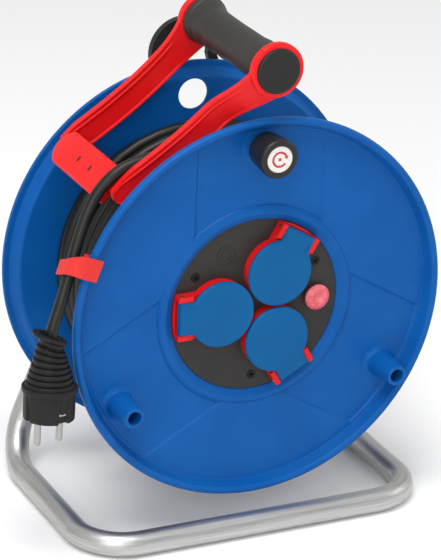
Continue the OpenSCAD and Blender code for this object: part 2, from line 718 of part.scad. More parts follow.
module eye(s0, s1) { on_grip() disc(eye_r, s0, s1); }
module guide_rear() {
    back = -arm_back - arm_t;
    color([0.88, 0.17, 0.16]) at_drum() difference() {
        union() {
            eye(back, -arm_back);
            slab(back, -arm_back) arm_outline(arm_half, 0, 1);
            out_to(crossbar_r - crossbar_t, crossbar_angle)
                block([0, crossbar_t], [-crossbar_half, crossbar_half], [back, crossbar_front]);
        }
        on_grip() disc(bolt_r + fit, back - 1, 1);
        slab(-arm_back - 1.2, 1 - arm_back) arm_outline(arm_half - 3, 0.22, 0.8);
        slab(back - 1, back + 1.2) arm_outline(arm_half - 3, 0.22, 0.9);
        out_to(crossbar_r - crossbar_t - 1, crossbar_angle)
            block([0, crossbar_t - 2], [3 - crossbar_half, crossbar_half - 3], [4 - arm_back, crossbar_front - 3]);
        for (s = [-7, 13]) out_to(crossbar_r - 6, crossbar_angle) block([0, 8], [-3, 3], [s - 1.3, s + 1.3]);
    }
}
module guide_front() {
    low = arm_s - arm_t;
    color([0.88, 0.17, 0.16]) at_drum() difference() {
        union() {
            eye(eye_s, eye_s + arm_t);
            slab(low, arm_s) arm_outline(arm_half, 0.33, 1.04);
            slab(eye_s, eye_s + arm_t) arm_outline(arm_half + 2, 0, 0.19);
            hull() {
                slab(low, arm_s) arm_outline(arm_half, 0.32, 0.34);
                slab(eye_s, eye_s + arm_t) arm_outline(arm_half + 2, 0.16, 0.19);
            }
        }
        on_grip() disc(bolt_r + fit, eye_s - 1, eye_s + 3);
        on_grip() disc(bolt_r + 3.6, eye_s + 2, eye_s + arm_t + 1);
        slab(arm_s - 1.2, arm_s + 1) arm_outline(arm_half - 3, 0.36, 0.94);
    }
}

// ---------- cable, plug and clip ----------
module cable_winding() {
    color([0.16, 0.16, 0.15]) at_drum() ring(barrel_r + gap, winding_r, gap - inner_s, inner_s - gap);
}
// Rings of points around a smooth curve through the given points.
function mid_tangent(p, i) = unit(p[min(i + 1, len(p) - 1)] - p[max(i - 1, 0)]);
function curve_point(p, i, t) =
    let(a = p[max(i - 1, 0)], b = p[i], c = p[i + 1], d = p[min(i + 2, len(p) - 1)])
    0.5 * (2 * b + (c - a) * t + (2 * a - 5 * b + 4 * c - d) * t * t + (3 * b - a - 3 * c + d) * t * t * t);
function curve(p, steps) = concat([for (i = [0 : len(p) - 2]) for (k = [0 : steps - 1])
    curve_point(p, i, k / steps)], [p[len(p) - 1]]);
module swept_tube(path, r, sides) {
    rings = [for (i = [0 : len(path) - 1])
        let(t = mid_tangent(path, i), u = unit(cross(t, [0, 1, 0.2])), v = cross(t, u))
        [for (k = [0 : sides - 1]) path[i] + r * (cos(360 * k / sides) * u + sin(360 * k / sides) * v)]];
    last = (len(path) - 1) * sides;
    polyhedron(
        points = [for (ring_points = rings) for (q = ring_points) q],
        faces = concat(
            [[for (k = [0 : sides - 1]) k]],
            [[for (k = [sides - 1 : -1 : 0]) last + k]],
            [for (i = [0 : len(path) - 2]) for (k = [0 : sides - 1]) let(n = (k + 1) % sides)
                [i * sides + k, (i + 1) * sides + k, (i + 1) * sides + n, i * sides + n]]));
}
module cable_lead() {
    color([0.16, 0.16, 0.15]) at_drum() swept_tube(curve(lead_points, 2), cable_r, 10);
}
// The plug's own frame: +Z from the pin face up to the cable.
module at_plug() { at_drum() translate(plug_foot) rotate(plug_tilt) children(); }
module plug_body() {
    r = plug_d / 2;
    color([0.15, 0.15, 0.15]) at_plug() difference() {
        union() {
            cylinder(r = r, h = plug_body_h + 1);
            translate([0, 0, plug_body_h]) cylinder(r = r + 1.7, h = 4);
        }
        for (way = [-1, 1]) {
            translate([way * (r + 0.6), 0, 7]) cube([6, 4, 20], center = true);
            translate([way * contact_pitch / 2, 0, -1]) cylinder(r = plug_pin_root_r, h = 13);
            translate([0, way * (r - 1.2), 8.2]) cube([7, 4, 18], center = true);
        }
    }
}
module plug_sleeve() {
    r = plug_d / 2;
    color([0.17, 0.17, 0.17]) at_plug() translate([0, 0, plug_body_h + 4]) difference() {
        rotate_extrude() polygon(concat([[0, 0]],
            [for (i = [0 : 6]) each [[r - 0.6 - i * 1.15, i * 4.1], [r - 0.8 - i * 1.15, i * 4.1 + 2.6],
                [r - 2.4 - i * 1.15, i * 4.1 + 2.8], [r - 2.6 - i * 1.15, i * 4.1 + 4]]],
            [[r - 8.6, 28.7], [r - 8.6, 34], [r - 10.6, 37], [0, 37]]));
        translate([0, 0, 30]) cylinder(r = cable_r + gap, h = 20);
    }
}
module plug_pins() {
    color("silver") at_plug() for (way = [-1, 1]) translate([way * contact_pitch / 2, 0, 0]) {
        translate([0, 0, 1.5 - plug_pin_l]) cylinder(r = plug_pin_d / 2, h = plug_pin_l - 1.5);
        translate([0, 0, -0.5]) cylinder(r = plug_pin_root_r, h = 12);
        translate([0, 0, -plug_pin_l]) cylinder(r1 = plug_pin_d / 2 - 1, r2 = plug_pin_d / 2, h = 1.5);
    }
}
module plug_earth_strips() {
    r = plug_d / 2;
    color("silver") at_plug() for (way = [-1, 1])
        translate([0, way * (r - 2.7), 10.5]) cube([6.6, 0.9, 9], center = true);
}
// A strap that bends round the cable, with a tab in front of the rim and a hook behind it.
// Its points are [outwards from the drum axis, s].
clip_strap = [[drum_r - 8.7, half_w + 1.4], [drum_r + 4, half_w + 1.4], [drum_r + 8.6, half_w - 0.6],
              [drum_r + 11.5, half_w - 5.4], [drum_r + 11.5, half_w - 18], [drum_r + 8, half_w - 23.5]];
function across(p, i) = let(d = unit(p[min(i + 1, len(p) - 1)] - p[max(i - 1, 0)])) [-d[1], d[0]];
module band(p, half) {
    polygon(concat([for (i = [0 : len(p) - 1]) p[i] + half * across(p, i)],
                   reversed([for (i = [0 : len(p) - 1]) p[i] - half * across(p, i)])));
}
module cable_clip() {
    hook_s = half_w - rim_h - 0.8;
    post_u = drum_r + 1.6;
    color([0.88, 0.17, 0.16]) at_drum() turn(clip_angle) translate([0, 0, -clip_w / 2]) mirror([0, 1, 0])
        linear_extrude(clip_w) {
            band(clip_strap, clip_t / 2);
            translate([post_u, hook_s - clip_t]) square([clip_t, half_w + 1.4 - hook_s + clip_t]);
            translate([drum_r - 4, hook_s - clip_t]) square([6, clip_t]);
        }
}

tube_frame();
rear_bracket();
bracket_cover();
bracket_screws();
axle();
thrust_washer();
axle_washer();
axle_circlip();
grip_bolt();
grip_nut();
grip_sleeve();
grip_cap();
guide_rear();
guide_front();
drum_front();
drum_rear();
drum_screws();
hub_bushes();
cable_gland();
plate_gasket();
socket_plate();
plate_screws();
socket_1();
socket_2();
socket_3();
contact_sleeves();
earth_clips();
terminal_block();
thermal_cutout();
button_spring();
reset_button();
lid_pins();
lid_springs();
lid_1();
lid_2();
lid_3();
lid_seal_1();
lid_seal_2();
lid_seal_3();
knob_pin();
knob_washer();
knob();
knob_label();
cable_winding();
cable_lead();
plug_body();
plug_sleeve();
plug_pins();
plug_earth_strips();
cable_clip();
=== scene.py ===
import math

import bmesh
import bpy
import numpy as np
from mathutils import Matrix


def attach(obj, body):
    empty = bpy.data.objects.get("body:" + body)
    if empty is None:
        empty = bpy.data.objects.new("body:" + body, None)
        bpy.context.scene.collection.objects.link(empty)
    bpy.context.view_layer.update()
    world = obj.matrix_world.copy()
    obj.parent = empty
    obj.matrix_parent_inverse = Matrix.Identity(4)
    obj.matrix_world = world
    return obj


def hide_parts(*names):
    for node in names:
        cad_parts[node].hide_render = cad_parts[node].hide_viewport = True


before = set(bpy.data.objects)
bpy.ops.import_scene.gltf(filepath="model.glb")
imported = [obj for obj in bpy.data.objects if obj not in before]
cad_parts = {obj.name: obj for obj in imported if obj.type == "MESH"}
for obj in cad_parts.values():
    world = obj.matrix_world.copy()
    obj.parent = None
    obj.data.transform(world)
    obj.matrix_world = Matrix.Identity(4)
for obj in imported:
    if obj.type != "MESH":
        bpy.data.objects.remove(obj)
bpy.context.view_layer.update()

# ---- Camera and lights ----
# A long lens from the left and a little above, with a slight tilt of the frame.
# Broad soft lamps in a white room. All lengths are in metres.

# The drum turns about a line along Y through this point.
drum_centre = np.array([0.0, -0.0025, 0.171])
azimuth, elevation, tilt = math.radians(-26.17), math.radians(22.45), math.radians(2.42)
camera_away, camera_lens = 2.2168, 194.07
back = np.array([math.sin(azimuth) * math.cos(elevation), -math.cos(azimuth) * math.cos(elevation),
                 math.sin(elevation)])
right = np.cross(-back, [0, 0, 1])
right /= np.linalg.norm(right)
up = np.cross(right, -back)
leant_right = math.cos(tilt) * right + math.sin(tilt) * up
leant_up = math.cos(tilt) * up - math.sin(tilt) * right
camera = bpy.data.objects.new("camera", bpy.data.cameras.new("camera"))
bpy.context.scene.collection.objects.link(camera)
placed = np.eye(4)
placed[:3, 0], placed[:3, 1], placed[:3, 2] = leant_right, leant_up, back
placed[:3, 3] = drum_centre + camera_away * back
camera.matrix_world = Matrix(placed.tolist())
camera.data.sensor_width = 36
camera.data.lens = camera_lens
camera.data.shift_x, camera.data.shift_y = 0.00125, -0.00857
camera.data.clip_end = 50
bpy.context.scene.camera = camera

world = bpy.data.worlds.new("room")
bpy.context.scene.world = world
world.use_nodes = True
world.node_tree.nodes["Background"].inputs["Color"].default_value = (1.0, 1.0, 1.0, 1)
world.node_tree.nodes["Background"].inputs["Strength"].default_value = 0.62
bpy.context.scene.view_settings.view_transform = "Standard"


def lamp(name, place, aim, size, watts):
    """A square area lamp at a place, turned so that it shines at the aim."""
    light = bpy.data.lights.new(name, "AREA")
    light.shape, light.size, light.energy = "SQUARE", size, watts
    holder = bpy.data.objects.new(name, light)
    bpy.context.scene.collection.objects.link(holder)
    way = np.array(place) - np.array(aim)
    way = way / np.linalg.norm(way)
    side = np.cross([0.0, 0.0, 1.0], way)
    side /= np.linalg.norm(side)
    seat = np.eye(4)
    seat[:3, 0], seat[:3, 1], seat[:3, 2], seat[:3, 3] = side, np.cross(way, side), way, place
    holder.matrix_world = Matrix(seat.tolist())


lamp_aim = (0, 0, 0.15)
lamp("lamp_over", (-0.5, -0.5, 1.9), lamp_aim, 1.0, 24)
lamp("lamp_front", (-1.5, -2.0, 1.3), lamp_aim, 1.2, 20)
lamp("lamp_right", (2.0, -0.6, 1.2), lamp_aim, 0.9, 6)


# ---- Rubber cable, wound on the drum ----
# Three-core rubber cable, 8.5 mm thick. It comes out of the barrel through a gland and lies in
# layers from flange to flange; the last few turns are loose, and rise to where the cable leaves.
def from_drum(right, forwards, up):
    """Points whose distances right, forwards and up of the drum's centre are given."""
    right, forwards, up = np.broadcast_arrays(right, forwards, up)
    return drum_centre + np.stack([right, -forwards, up], axis=-1)


# A material is written as sums on node outputs, so that a mask reads like arithmetic.
class Value:
    """A number or a colour that a node gives out. A sum on it adds a Math node."""

    def __init__(self, finish, socket):
        self.finish, self.socket = finish, socket

    def sum(self, operation, *terms):
        return self.finish.node("Math", {"operation": operation}, *terms)

    def __add__(self, other):
        return self.sum("ADD", self, other)

    def __sub__(self, other):
        return self.sum("SUBTRACT", self, other)

    def __rsub__(self, other):
        return self.sum("SUBTRACT", other, self)

    def __mul__(self, other):
        return self.sum("MULTIPLY", self, other)

    def __abs__(self):
        return self.sum("ABSOLUTE", self)

    __radd__, __rmul__ = __add__, __mul__

    def rise(self, low, high):
        """0 below low, 1 above high, and a smooth step between."""
        settings = {"interpolation_type": "SMOOTHSTEP"}
        return self.finish.node("MapRange", settings, self, low, high, 0.0, 1.0)

    def root(self):
        return self.sum("SQRT", self)

    def angle(self, right):
        """The angle up from the right of a point this far up."""
        return self.sum("ARCTAN2", self, right)

    def most(self, other):
        return self.sum("MAXIMUM", self, other)


class Finish:
    """A material with one Principled shader, whose sockets take numbers, colours or Values."""

    def __init__(self, name, **sockets):
        self.material = bpy.data.materials.new(name)
        self.material.use_nodes = True
        self.tree = self.material.node_tree
        self.shader = self.tree.nodes["Principled BSDF"]
        self.feed(**sockets)

    def feed(self, **sockets):
        for name, value in sockets.items():
            self.plug(self.shader.inputs[name.replace("_", " ")], value)

    def plug(self, socket, value):
        if isinstance(value, Value):
            self.tree.links.new(value.socket, socket)
        elif isinstance(value, (tuple, list)) and len(value) == 3 and socket.type == "RGBA":
            socket.default_value = (*value, 1)
        else:
            socket.default_value = value

    def node(self, kind, settings, *values, output=0, **named):
        """A node of a kind, its settings first, then its sockets by order or by name."""
        made = self.tree.nodes.new("ShaderNode" + kind)
        for key, value in settings.items():
            setattr(made, key, value)
        for key, value in enumerate(values):
            self.plug(made.inputs[key], value)
        for key, value in named.items():
            self.plug(made.inputs[key.replace("_", " ")], value)
        return Value(self, made.outputs[output])

    def place(self, uv=False):
        """Where a point is on the object, or on its own UV map."""
        return self.node("TexCoord", {}, output=2 if uv else 3)

    def axes(self, where):
        """The three numbers of a place."""
        split = self.tree.nodes.new("ShaderNodeSeparateXYZ")
        self.plug(split.inputs[0], where)
        return [Value(self, out) for out in split.outputs]

    def stretched(self, where, by):
        return self.node("VectorMath", {"operation": "MULTIPLY"}, where, by)

    def noise(self, where, scale, detail=2.0, rough=0.5):
        return self.node("TexNoise", {}, Vector=where, Scale=scale, Detail=detail, Roughness=rough)

    def mix(self, factor, first, second):
        """first where factor is 0, second where it is 1."""
        made = self.tree.nodes.new("ShaderNodeMix")
        made.data_type = "RGBA"
        for key, value in ((0, factor), (6, first), (7, second)):
            self.plug(made.inputs[key], value)
        return Value(self, made.outputs[2])

    def bump(self, height, strength, distance):
        return self.node("Bump", {}, Height=height, Strength=strength, Distance=distance)


def wear(obj, finish):
    """Gives a piece, or a frame node, one finish all over."""
    obj.data.materials.clear()
    obj.data.materials.append(finish.material)


def weld(mesh):
    """Merges points that fall on each other, as at the pole of a turned piece."""
    work = bmesh.new()
    work.from_mesh(mesh)
    bmesh.ops.remove_doubles(work, verts=work.verts, dist=1e-7)
    bmesh.ops.dissolve_degenerate(work, edges=work.edges, dist=1e-7)
    work.to_mesh(mesh)
    work.free()


# Every new piece is a grid of points: rings of points, one ring after another.
def surface(name, grid, body, finish, slot, ends="cap", sharp=40.0):
    """Joins a grid of rings (rows, points, 3) into a closed mesh. ends "cap" closes the first and
    last ring with a face each, and "join" joins the last ring to the first. Faces point outwards,
    because a mesh with a negative volume has its faces turned over."""
    rows, points = grid.shape[:2]
    last = rows if ends == "join" else rows - 1
    i, j = np.meshgrid(np.arange(last), np.arange(points), indexing="ij")
    ring = np.stack([i, i + 1, i + 1, i], -1).reshape(-1, 4)
    step = np.stack([j, j, j + 1, j + 1], -1).reshape(-1, 4)
    faces = ring % rows * points + step % points
    flat = grid.reshape(-1, 3)
    a, b, c, d = (flat[faces[:, k]] for k in range(4))
    volume = np.einsum("ij,ij->", a, np.cross(b, c)) + np.einsum("ij,ij->", a, np.cross(c, d))
    lids = [list(range(points)), list(range((rows - 1) * points, rows * points))] if ends == "cap" else []
    for n, lid in enumerate(lids):
        at, middle = flat[lid], flat[lid].mean(0)
        whole = np.einsum("ij,ij->", at, np.cross(np.roll(at, -1, 0), np.broadcast_to(middle, at.shape)))
        volume += whole * (1 if n == 0 else -1)
    around, along = step / points, ring / max(last, 1)
    if volume < 0:
        faces, around, along = faces[:, ::-1], around[:, ::-1], along[:, ::-1]
        lids = [lid[::-1] for lid in lids]
    lids = [lids[0], lids[1][::-1]] if lids else []
    mesh = bpy.data.meshes.new(name)
    mesh.from_pydata(flat, [], faces.tolist() + lids)
    spots = np.zeros((len(mesh.loops), 2), np.float32)
    spots[: faces.size] = np.stack([around, along], -1).reshape(-1, 2)
    mesh.uv_layers.new(name="round_and_along").data.foreach_set("uv", spots.ravel())
    weld(mesh)
    mesh.polygons.foreach_set("use_smooth", np.ones(len(mesh.polygons), bool))
    mesh.set_sharp_from_angle(angle=math.radians(sharp))
    piece = bpy.data.objects.new(name, mesh)
    bpy.context.scene.collection.objects.link(piece)
    wear(piece, finish)
    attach(piece, body)
    return piece


def tube_rings(path, radius, sides):
    """Rings square to a path. Each ring's first direction is the one before it, less its part
    along the path, so the rings don't twist."""
    path = np.asarray(path, float)
    along = np.gradient(path, axis=0)
    along /= np.linalg.norm(along, axis=1, keepdims=True)
    side = np.empty_like(path)
    start = np.cross(along[0], [0.13, 0.91, 0.4])
    side[0] = start / np.linalg.norm(start)
    for k in range(1, len(path)):
        turned = side[k - 1] - along[k] * (side[k - 1] @ along[k])
        side[k] = turned / np.linalg.norm(turned)
    other = np.cross(along, side)
    angle = np.linspace(0, 2 * np.pi, sides, endpoint=False)
    radius = np.broadcast_to(np.asarray(radius, float), len(path))[:, None, None]
    return path[:, None] + radius * (
        np.cos(angle)[None, :, None] * side[:, None] + np.sin(angle)[None, :, None] * other[:, None]
    )


def smooth_line(points, steps):
    """A curve through points: between each two, the cubic whose slope at each end is half the
    step between that end's neighbours."""
    points = np.asarray(points, float)
    padded = np.concatenate([points[:1], points, points[-1:]])
    a, b, c, d = (padded[k : len(points) - 1 + k, None] for k in range(4))
    t = np.linspace(0, 1, steps, endpoint=False)[None, :, None]
    curve = 0.5 * (2 * b + (c - a) * t + (2 * a - 5 * b + 4 * c - d) * t**2 + (3 * b - a - 3 * c + d) * t**3)
    return np.concatenate([curve.reshape(-1, 3), points[-1:]])


def run(path):
    """The length of a line of points."""
    return float(np.linalg.norm(np.diff(path, axis=0), axis=1).sum())


def smooth(x, low, high):
    """0 below low, 1 above high, and a smooth step between."""
    t = np.clip((x - low) / (high - low), 0, 1)
    return t * t * (3 - 2 * t)


cable_d = 0.0085
cable_r = cable_d / 2
whole_cable = 25.0
# The free end's points, in millimetres along X, Y and Z from the drum's centre.
lead_points = np.array([
    [-6, -44, 118], [-30, -45, 119], [-60, -46, 119], [-86, -46.4, 117], [-104, -46.4, 111],
    [-118, -46.4, 99], [-128, -48, 83], [-136, -52, 66], [-143, -56, 47], [-150, -60.5, 30],
    [-155.5, -64, 18], [-160.3, -66.5, 7], [-160.9, -67.1, -2],
]) / 1000
lead_line = drum_centre + smooth_line(lead_points, 10)
wound = whole_cable - run(lead_line)

rubber = Finish("cable_rubber")
where = rubber.place(uv=True)
grain = rubber.noise(rubber.stretched(where, (60.0, 2600.0, 1.0)), 1.0, 3.0, 0.6)
draw = rubber.noise(rubber.stretched(where, (26.0, 14.0, 1.0)), 1.0, 2.0)
rubber.feed(
    Base_Color=rubber.mix(draw.rise(0.35, 0.7), (0.008, 0.0085, 0.0075), (0.015, 0.0165, 0.014)),
    Roughness=draw * 0.16 + grain * 0.08 + 0.27,
    Normal=rubber.bump(draw * 0.7 + grain * 0.3, 0.5, 0.00025),
    Specular_IOR_Level=0.3,
)

layer_r = (0.0796, 0.0877, 0.0958, 0.1040)
gland_angle, gland_s = math.radians(215), 0.04185
edge_s = 0.0524
pitch = 0.00875
last_s, step_turns = 0.044, 0.16
sag_angle, sag_out = math.radians(192), 0.0062
leave_r, leave_turns = 0.11815, 0.36
gland_drop, gland_turns = 0.0066, 0.1


def winding_line(last_turns):
    """The line of the wound cable: its angle grows steadily while its distance along the drum goes
    to and fro, and its radius steps up at each flange. The last layer wanders a little, and its
    last turns sag outwards on the left."""
    turns = [(gland_s + edge_s) / pitch, 2 * edge_s / pitch, 2 * edge_s / pitch, last_turns]
    ends = np.cumsum(turns)
    count = np.linspace(0, ends[-1], int(ends[-1] * 44) + 1)
    angle = gland_angle + 2 * np.pi * count
    knots = np.concatenate([[0], ends])
    s = np.interp(count, knots, [gland_s, -edge_s, edge_s, -edge_s, last_s])
    r = np.full_like(count, layer_r[0])
    for k in range(3):
        r += (layer_r[k + 1] - layer_r[k]) * smooth(count, ends[k] - step_turns, ends[k] + step_turns)
    loose = smooth(count, ends[2], ends[2] + 0.7)
    s += loose * (0.0028 * np.sin(1.83 * angle + 0.6) + 0.0016 * np.sin(3.1 * angle))
    s -= loose * smooth(count, ends[3] - 0.5, ends[3]) * (s - last_s)
    r += loose * (0.0011 * np.sin(0.77 * angle) + 0.0006)
    sag = np.clip(np.cos(angle - sag_angle), 0, 1) ** 2
    r += sag_out * sag * smooth(count, ends[3] - 3.2, ends[3] - 2.2)
    leave = np.clip((count - ends[3] + leave_turns) / leave_turns, 0, 1)
    r += (leave_r - r) * leave**2.2
    start = np.clip(count / gland_turns, 0, 1)
    r -= (1 - smooth(start, 0, 1)) * gland_drop
    return from_drum(r * np.cos(angle), np.clip(s, -edge_s, edge_s), r * np.sin(angle))


end_angle = math.atan2(lead_points[0, 2], lead_points[0, 0])
before = (gland_s + edge_s) / pitch + 4 * edge_s / pitch
part_turn = ((end_angle - gland_angle) / (2 * math.pi) - before) % 1.0
tries = [winding_line(part_turn + n) for n in range(4, 12)]
winding_path = min(tries, key=lambda line: abs(run(line) - wound))
winding = surface("cable_wound", tube_rings(winding_path, cable_r, 12), "drum", rubber, "cable_rubber",
                  sharp=80)
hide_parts("cable_winding")
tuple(winding_path[0])
run(winding_path)

# ---- Rubber cable, from the winding to the plug ----
# The free end lies over the winding, passes between the guide's crossbar and its front arm,
# goes under the clip at the rim and hangs down to the plug.
lead = surface("cable_to_plug", tube_rings(lead_line, cable_r, 20), "root", rubber, "cable_rubber", sharp=80)
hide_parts("cable_lead")

# ---- Earthed plug, on the end of the cable ----
# A rubber plug moulded on the cable: a round body with two side grooves, a collar to grip,
# and a ribbed sleeve that tapers up the cable and lets it bend. Two nickel-plated pins.
plug_foot = np.array([-0.1635, -0.071, -0.057])
a, b, c = (math.radians(v) for v in (-3.3, 3.6, 14))
about_x = np.array([[1, 0, 0], [0, math.cos(a), -math.sin(a)], [0, math.sin(a), math.cos(a)]])
about_y = np.array([[math.cos(b), 0, math.sin(b)], [0, 1, 0], [-math.sin(b), 0, math.cos(b)]])
about_z = np.array([[math.cos(c), -math.sin(c), 0], [math.sin(c), math.cos(c), 0], [0, 0, 1]])
plug_turn = about_z @ about_y @ about_x


def on_plug(x, y, z):
    """Points given from the middle of the plug's pin face, z up its cable."""
    x, y, z = np.broadcast_arrays(x, y, z)
    return drum_centre + plug_foot + np.stack([x, y, z], -1) @ plug_turn.T


def rounded(corners, radius, steps=4):
    """A line through corners, each but the first and last cut by a curve that starts and ends
    radius away from it. A corner's third number is its own radius. Two close points at each end
    of a curve keep the flats beside it flat in shading."""
    line = [np.array(corners[0][:2], float)]
    for last, here, after in zip(corners, corners[1:], corners[2:]):
        p, q, n = (np.array(v[:2], float) for v in (here, last, after))
        back_len, on_len = np.linalg.norm(q - p), np.linalg.norm(n - p)
        reach = min(here[2] if len(here) > 2 else radius, 0.42 * back_len, 0.42 * on_len)
        start, stop = p + (q - p) / back_len * reach, p + (n - p) / on_len * reach
        t = np.linspace(0, 1, steps + 1)[:, None]
        line.append(start + (q - p) / back_len * reach * 0.15)
        line.extend((1 - t) ** 2 * start + 2 * t * (1 - t) * p + t**2 * stop)
        line.append(stop + (n - p) / on_len * reach * 0.15)
    line.append(np.array(corners[-1][:2], float))
    return np.array(line)


def moulded(name, colour, light, roughness, grain=0.5, shine=0.3, size=2600.0):
    """Injection-moulded plastic: a fine grain, slow waves in the gloss, and pale scuffs."""
    made = Finish(name)
    where = made.place()
    fine = made.noise(where, size, 3.0, 0.6)
    slow = made.noise(where, 26.0, 2.0)
    scuff = made.noise(made.stretched(where, (1.0, 2.2, 5.0)), 320.0, 4.0, 0.7).rise(0.66, 0.8)
    cloud = slow.rise(0.3, 0.72)
    tint = made.mix(cloud * 0.5, colour, light)
    tint = made.mix(scuff * 0.12, tint, tuple(min(1.0, 0.35 + c) for c in light))
    made.feed(
        Base_Color=tint,
        Roughness=cloud * 0.07 + fine * 0.05 + scuff * 0.1 + (roughness - 0.06),
        Normal=made.bump(fine * 0.6 + slow * 0.4, grain, 0.00012),
        Specular_IOR_Level=shine,
    )
    return made


plug_rubber = moulded("plug_rubber", (0.0105, 0.0098, 0.0094), (0.018, 0.017, 0.016), 0.5, grain=0.8,
                      shine=0.22)
plug_r = 0.01825
spin = np.linspace(0, 2 * np.pi, 96, endpoint=False)

# The sleeve: seven ribs on a tapering core, with a slanting lip where the cable goes in.
rib = 0.0041
ribs = [(0.0, 0.024), (plug_r - 0.0006, 0.024)]
for k in range(7):
    r, z = plug_r - 0.0007 - 0.00115 * k, 0.024 + rib * k
    ribs += [(r, z + 0.0002, 0.0006), (r - 0.0003, z + 0.0027, 0.0006), (r - 0.0024, z + 0.003, 0.0003),
             (r - 0.0028, z + 0.0038, 0.0003)]
ribs += [(0.0092, 0.0535), (0.0091, 0.0563), (0.0112, 0.0583), (0.0113, 0.0603, 0.0009),
         (0.0068, 0.0611, 0.0008), (0.0046, 0.0585, 0.0004), (0.0046, 0.05)]
ribs = rounded(ribs, 0.0007, 3)
r, z = ribs[:, :1], ribs[:, 1:]
lip = smooth(z, 0.0545, 0.0585)
slant = smooth(z, 0.034, 0.0585) * (0.0040 * np.cos(spin - 2.8) * r / 0.011)
wide = r * (1 + lip * (0.10 + 0.14 * np.cos(spin - 2.9)))
sleeve = surface(
    "plug_bend_sleeve", on_plug(wide * np.cos(spin), wide * np.sin(spin), z + slant), "root", plug_rubber,
    "plug_rubber", sharp=50
)
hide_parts("plug_sleeve")

# The body: round, with a flat groove for an earth strip on two sides and a guide groove on two.
body_line = rounded([
    (0, 0), (plug_r, 0, 0.0012), (plug_r + 0.0002, 0.0198, 0.0003), (plug_r + 0.0017, 0.0205, 0.0006),
    (plug_r + 0.0017, 0.0242, 0.0008), (0.012, 0.0246),
], 0.0006, 3)
r, z = body_line[:, :1], body_line[:, 1:]
edge = smooth(r, 0.0120, 0.0150) * (1 - smooth(z, 0.0172, 0.0176))
x, y = r * np.cos(spin), r * np.sin(spin)
side_groove = 0.0026 * (1 - smooth(abs(y), 0.0019, 0.0022)) * edge
strip_groove = 0.0033 * (1 - smooth(abs(x), 0.0034, 0.0037)) * edge
x, y = x - np.sign(x) * side_groove, y - np.sign(y) * strip_groove
plug = surface("plug_body_moulded", on_plug(x, y, z + 0 * x), "root", plug_rubber, "plug_rubber", sharp=35)
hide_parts("plug_body")

nickel = Finish("plug_nickel")
where = nickel.place()
brush = nickel.noise(nickel.stretched(where, (900.0, 900.0, 120.0)), 1.0, 3.0)
nickel.feed(Base_Color=(0.40, 0.39, 0.37), Metallic=1.0, Roughness=brush * 0.16 + 0.22,
            Normal=nickel.bump(brush, 0.3, 0.00005))
for name in ("plug_pins", "plug_earth_strips"):
    wear(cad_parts[name], nickel)
run(lead_line)

# ---- Tube frame ----
# One steel tube, 18 mm across, bent cold: down a leg, forwards along the floor, across the
# front and back up the other leg. It is galvanised, so it is dull, with long bright streaks.
tube_r, rail_x, bar_s, leg_s, tube_up, lean = 0.009, 0.132, 0.084, -0.086, -0.162, 0.41
leg_top = 0.0757
leg_top_x = rail_x - lean * (leg_top - tube_up)


def bent(corners, radii, steps=18):
    """A path of straight lines through corners, with a round bend of a given radius at each."""
    path = [corners[0]]
    for last, p, after, radius in zip(corners, corners[1:], corners[2:], radii):
        a, b = last - p, after - p
        a, b = a / np.linalg.norm(a), b / np.linalg.norm(b)
        half = math.acos(a @ b) / 2
        middle = p + (a + b) / np.linalg.norm(a + b) * radius / math.sin(half)
        out = (p - middle) / np.linalg.norm(p - middle)
        side = (b - a) / np.linalg.norm(b - a)
        swing = np.linspace(half - math.pi / 2, math.pi / 2 - half, steps)[:, None]
        path.extend(middle + radius * (np.cos(swing) * out + np.sin(swing) * side))
    path.append(corners[-1])
    return np.array(path)


corner_list = from_drum(
    np.array([-leg_top_x, -rail_x, -rail_x, rail_x, rail_x, leg_top_x]),
    np.array([leg_s, leg_s, bar_s, bar_s, leg_s, leg_s]),
    np.array([leg_top, tube_up, tube_up, tube_up, tube_up, leg_top]),
)
tube_line = bent(corner_list, (0.038, 0.0365, 0.0365, 0.038))
steps = np.concatenate([[0], np.cumsum(np.linalg.norm(np.diff(tube_line, axis=0), axis=1))])
even = np.union1d(steps, np.linspace(0, steps[-1], 160))
even = even[np.concatenate([[True], np.diff(even) > 1e-5])]
tube_line = np.stack([np.interp(even, steps, tube_line[:, k]) for k in range(3)], -1)

zinc = Finish("galvanised_tube")
where = zinc.place(uv=True)
streak = zinc.noise(zinc.stretched(where, (34.0, 22.0, 1.0)), 1.0, 4.0, 0.55)
fine = zinc.noise(zinc.stretched(where, (300.0, 90.0, 1.0)), 1.0, 3.0, 0.6)
flake = zinc.noise(zinc.place(), 260.0, 2.0)
zinc.feed(
    Base_Color=zinc.mix(streak.rise(0.3, 0.7), (0.46, 0.455, 0.445), (0.60, 0.595, 0.585)),
    Metallic=1.0,
    Roughness=streak * 0.12 + fine * 0.12 + flake * 0.08 + 0.26,
    Normal=zinc.bump(streak * 0.5 + fine * 0.3 + flake * 0.2, 0.35, 0.0002),
)
tube = surface("bent_tube", tube_rings(tube_line, tube_r, 40), "root", zinc, "galvanised_tube", sharp=60)
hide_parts("tube_frame")

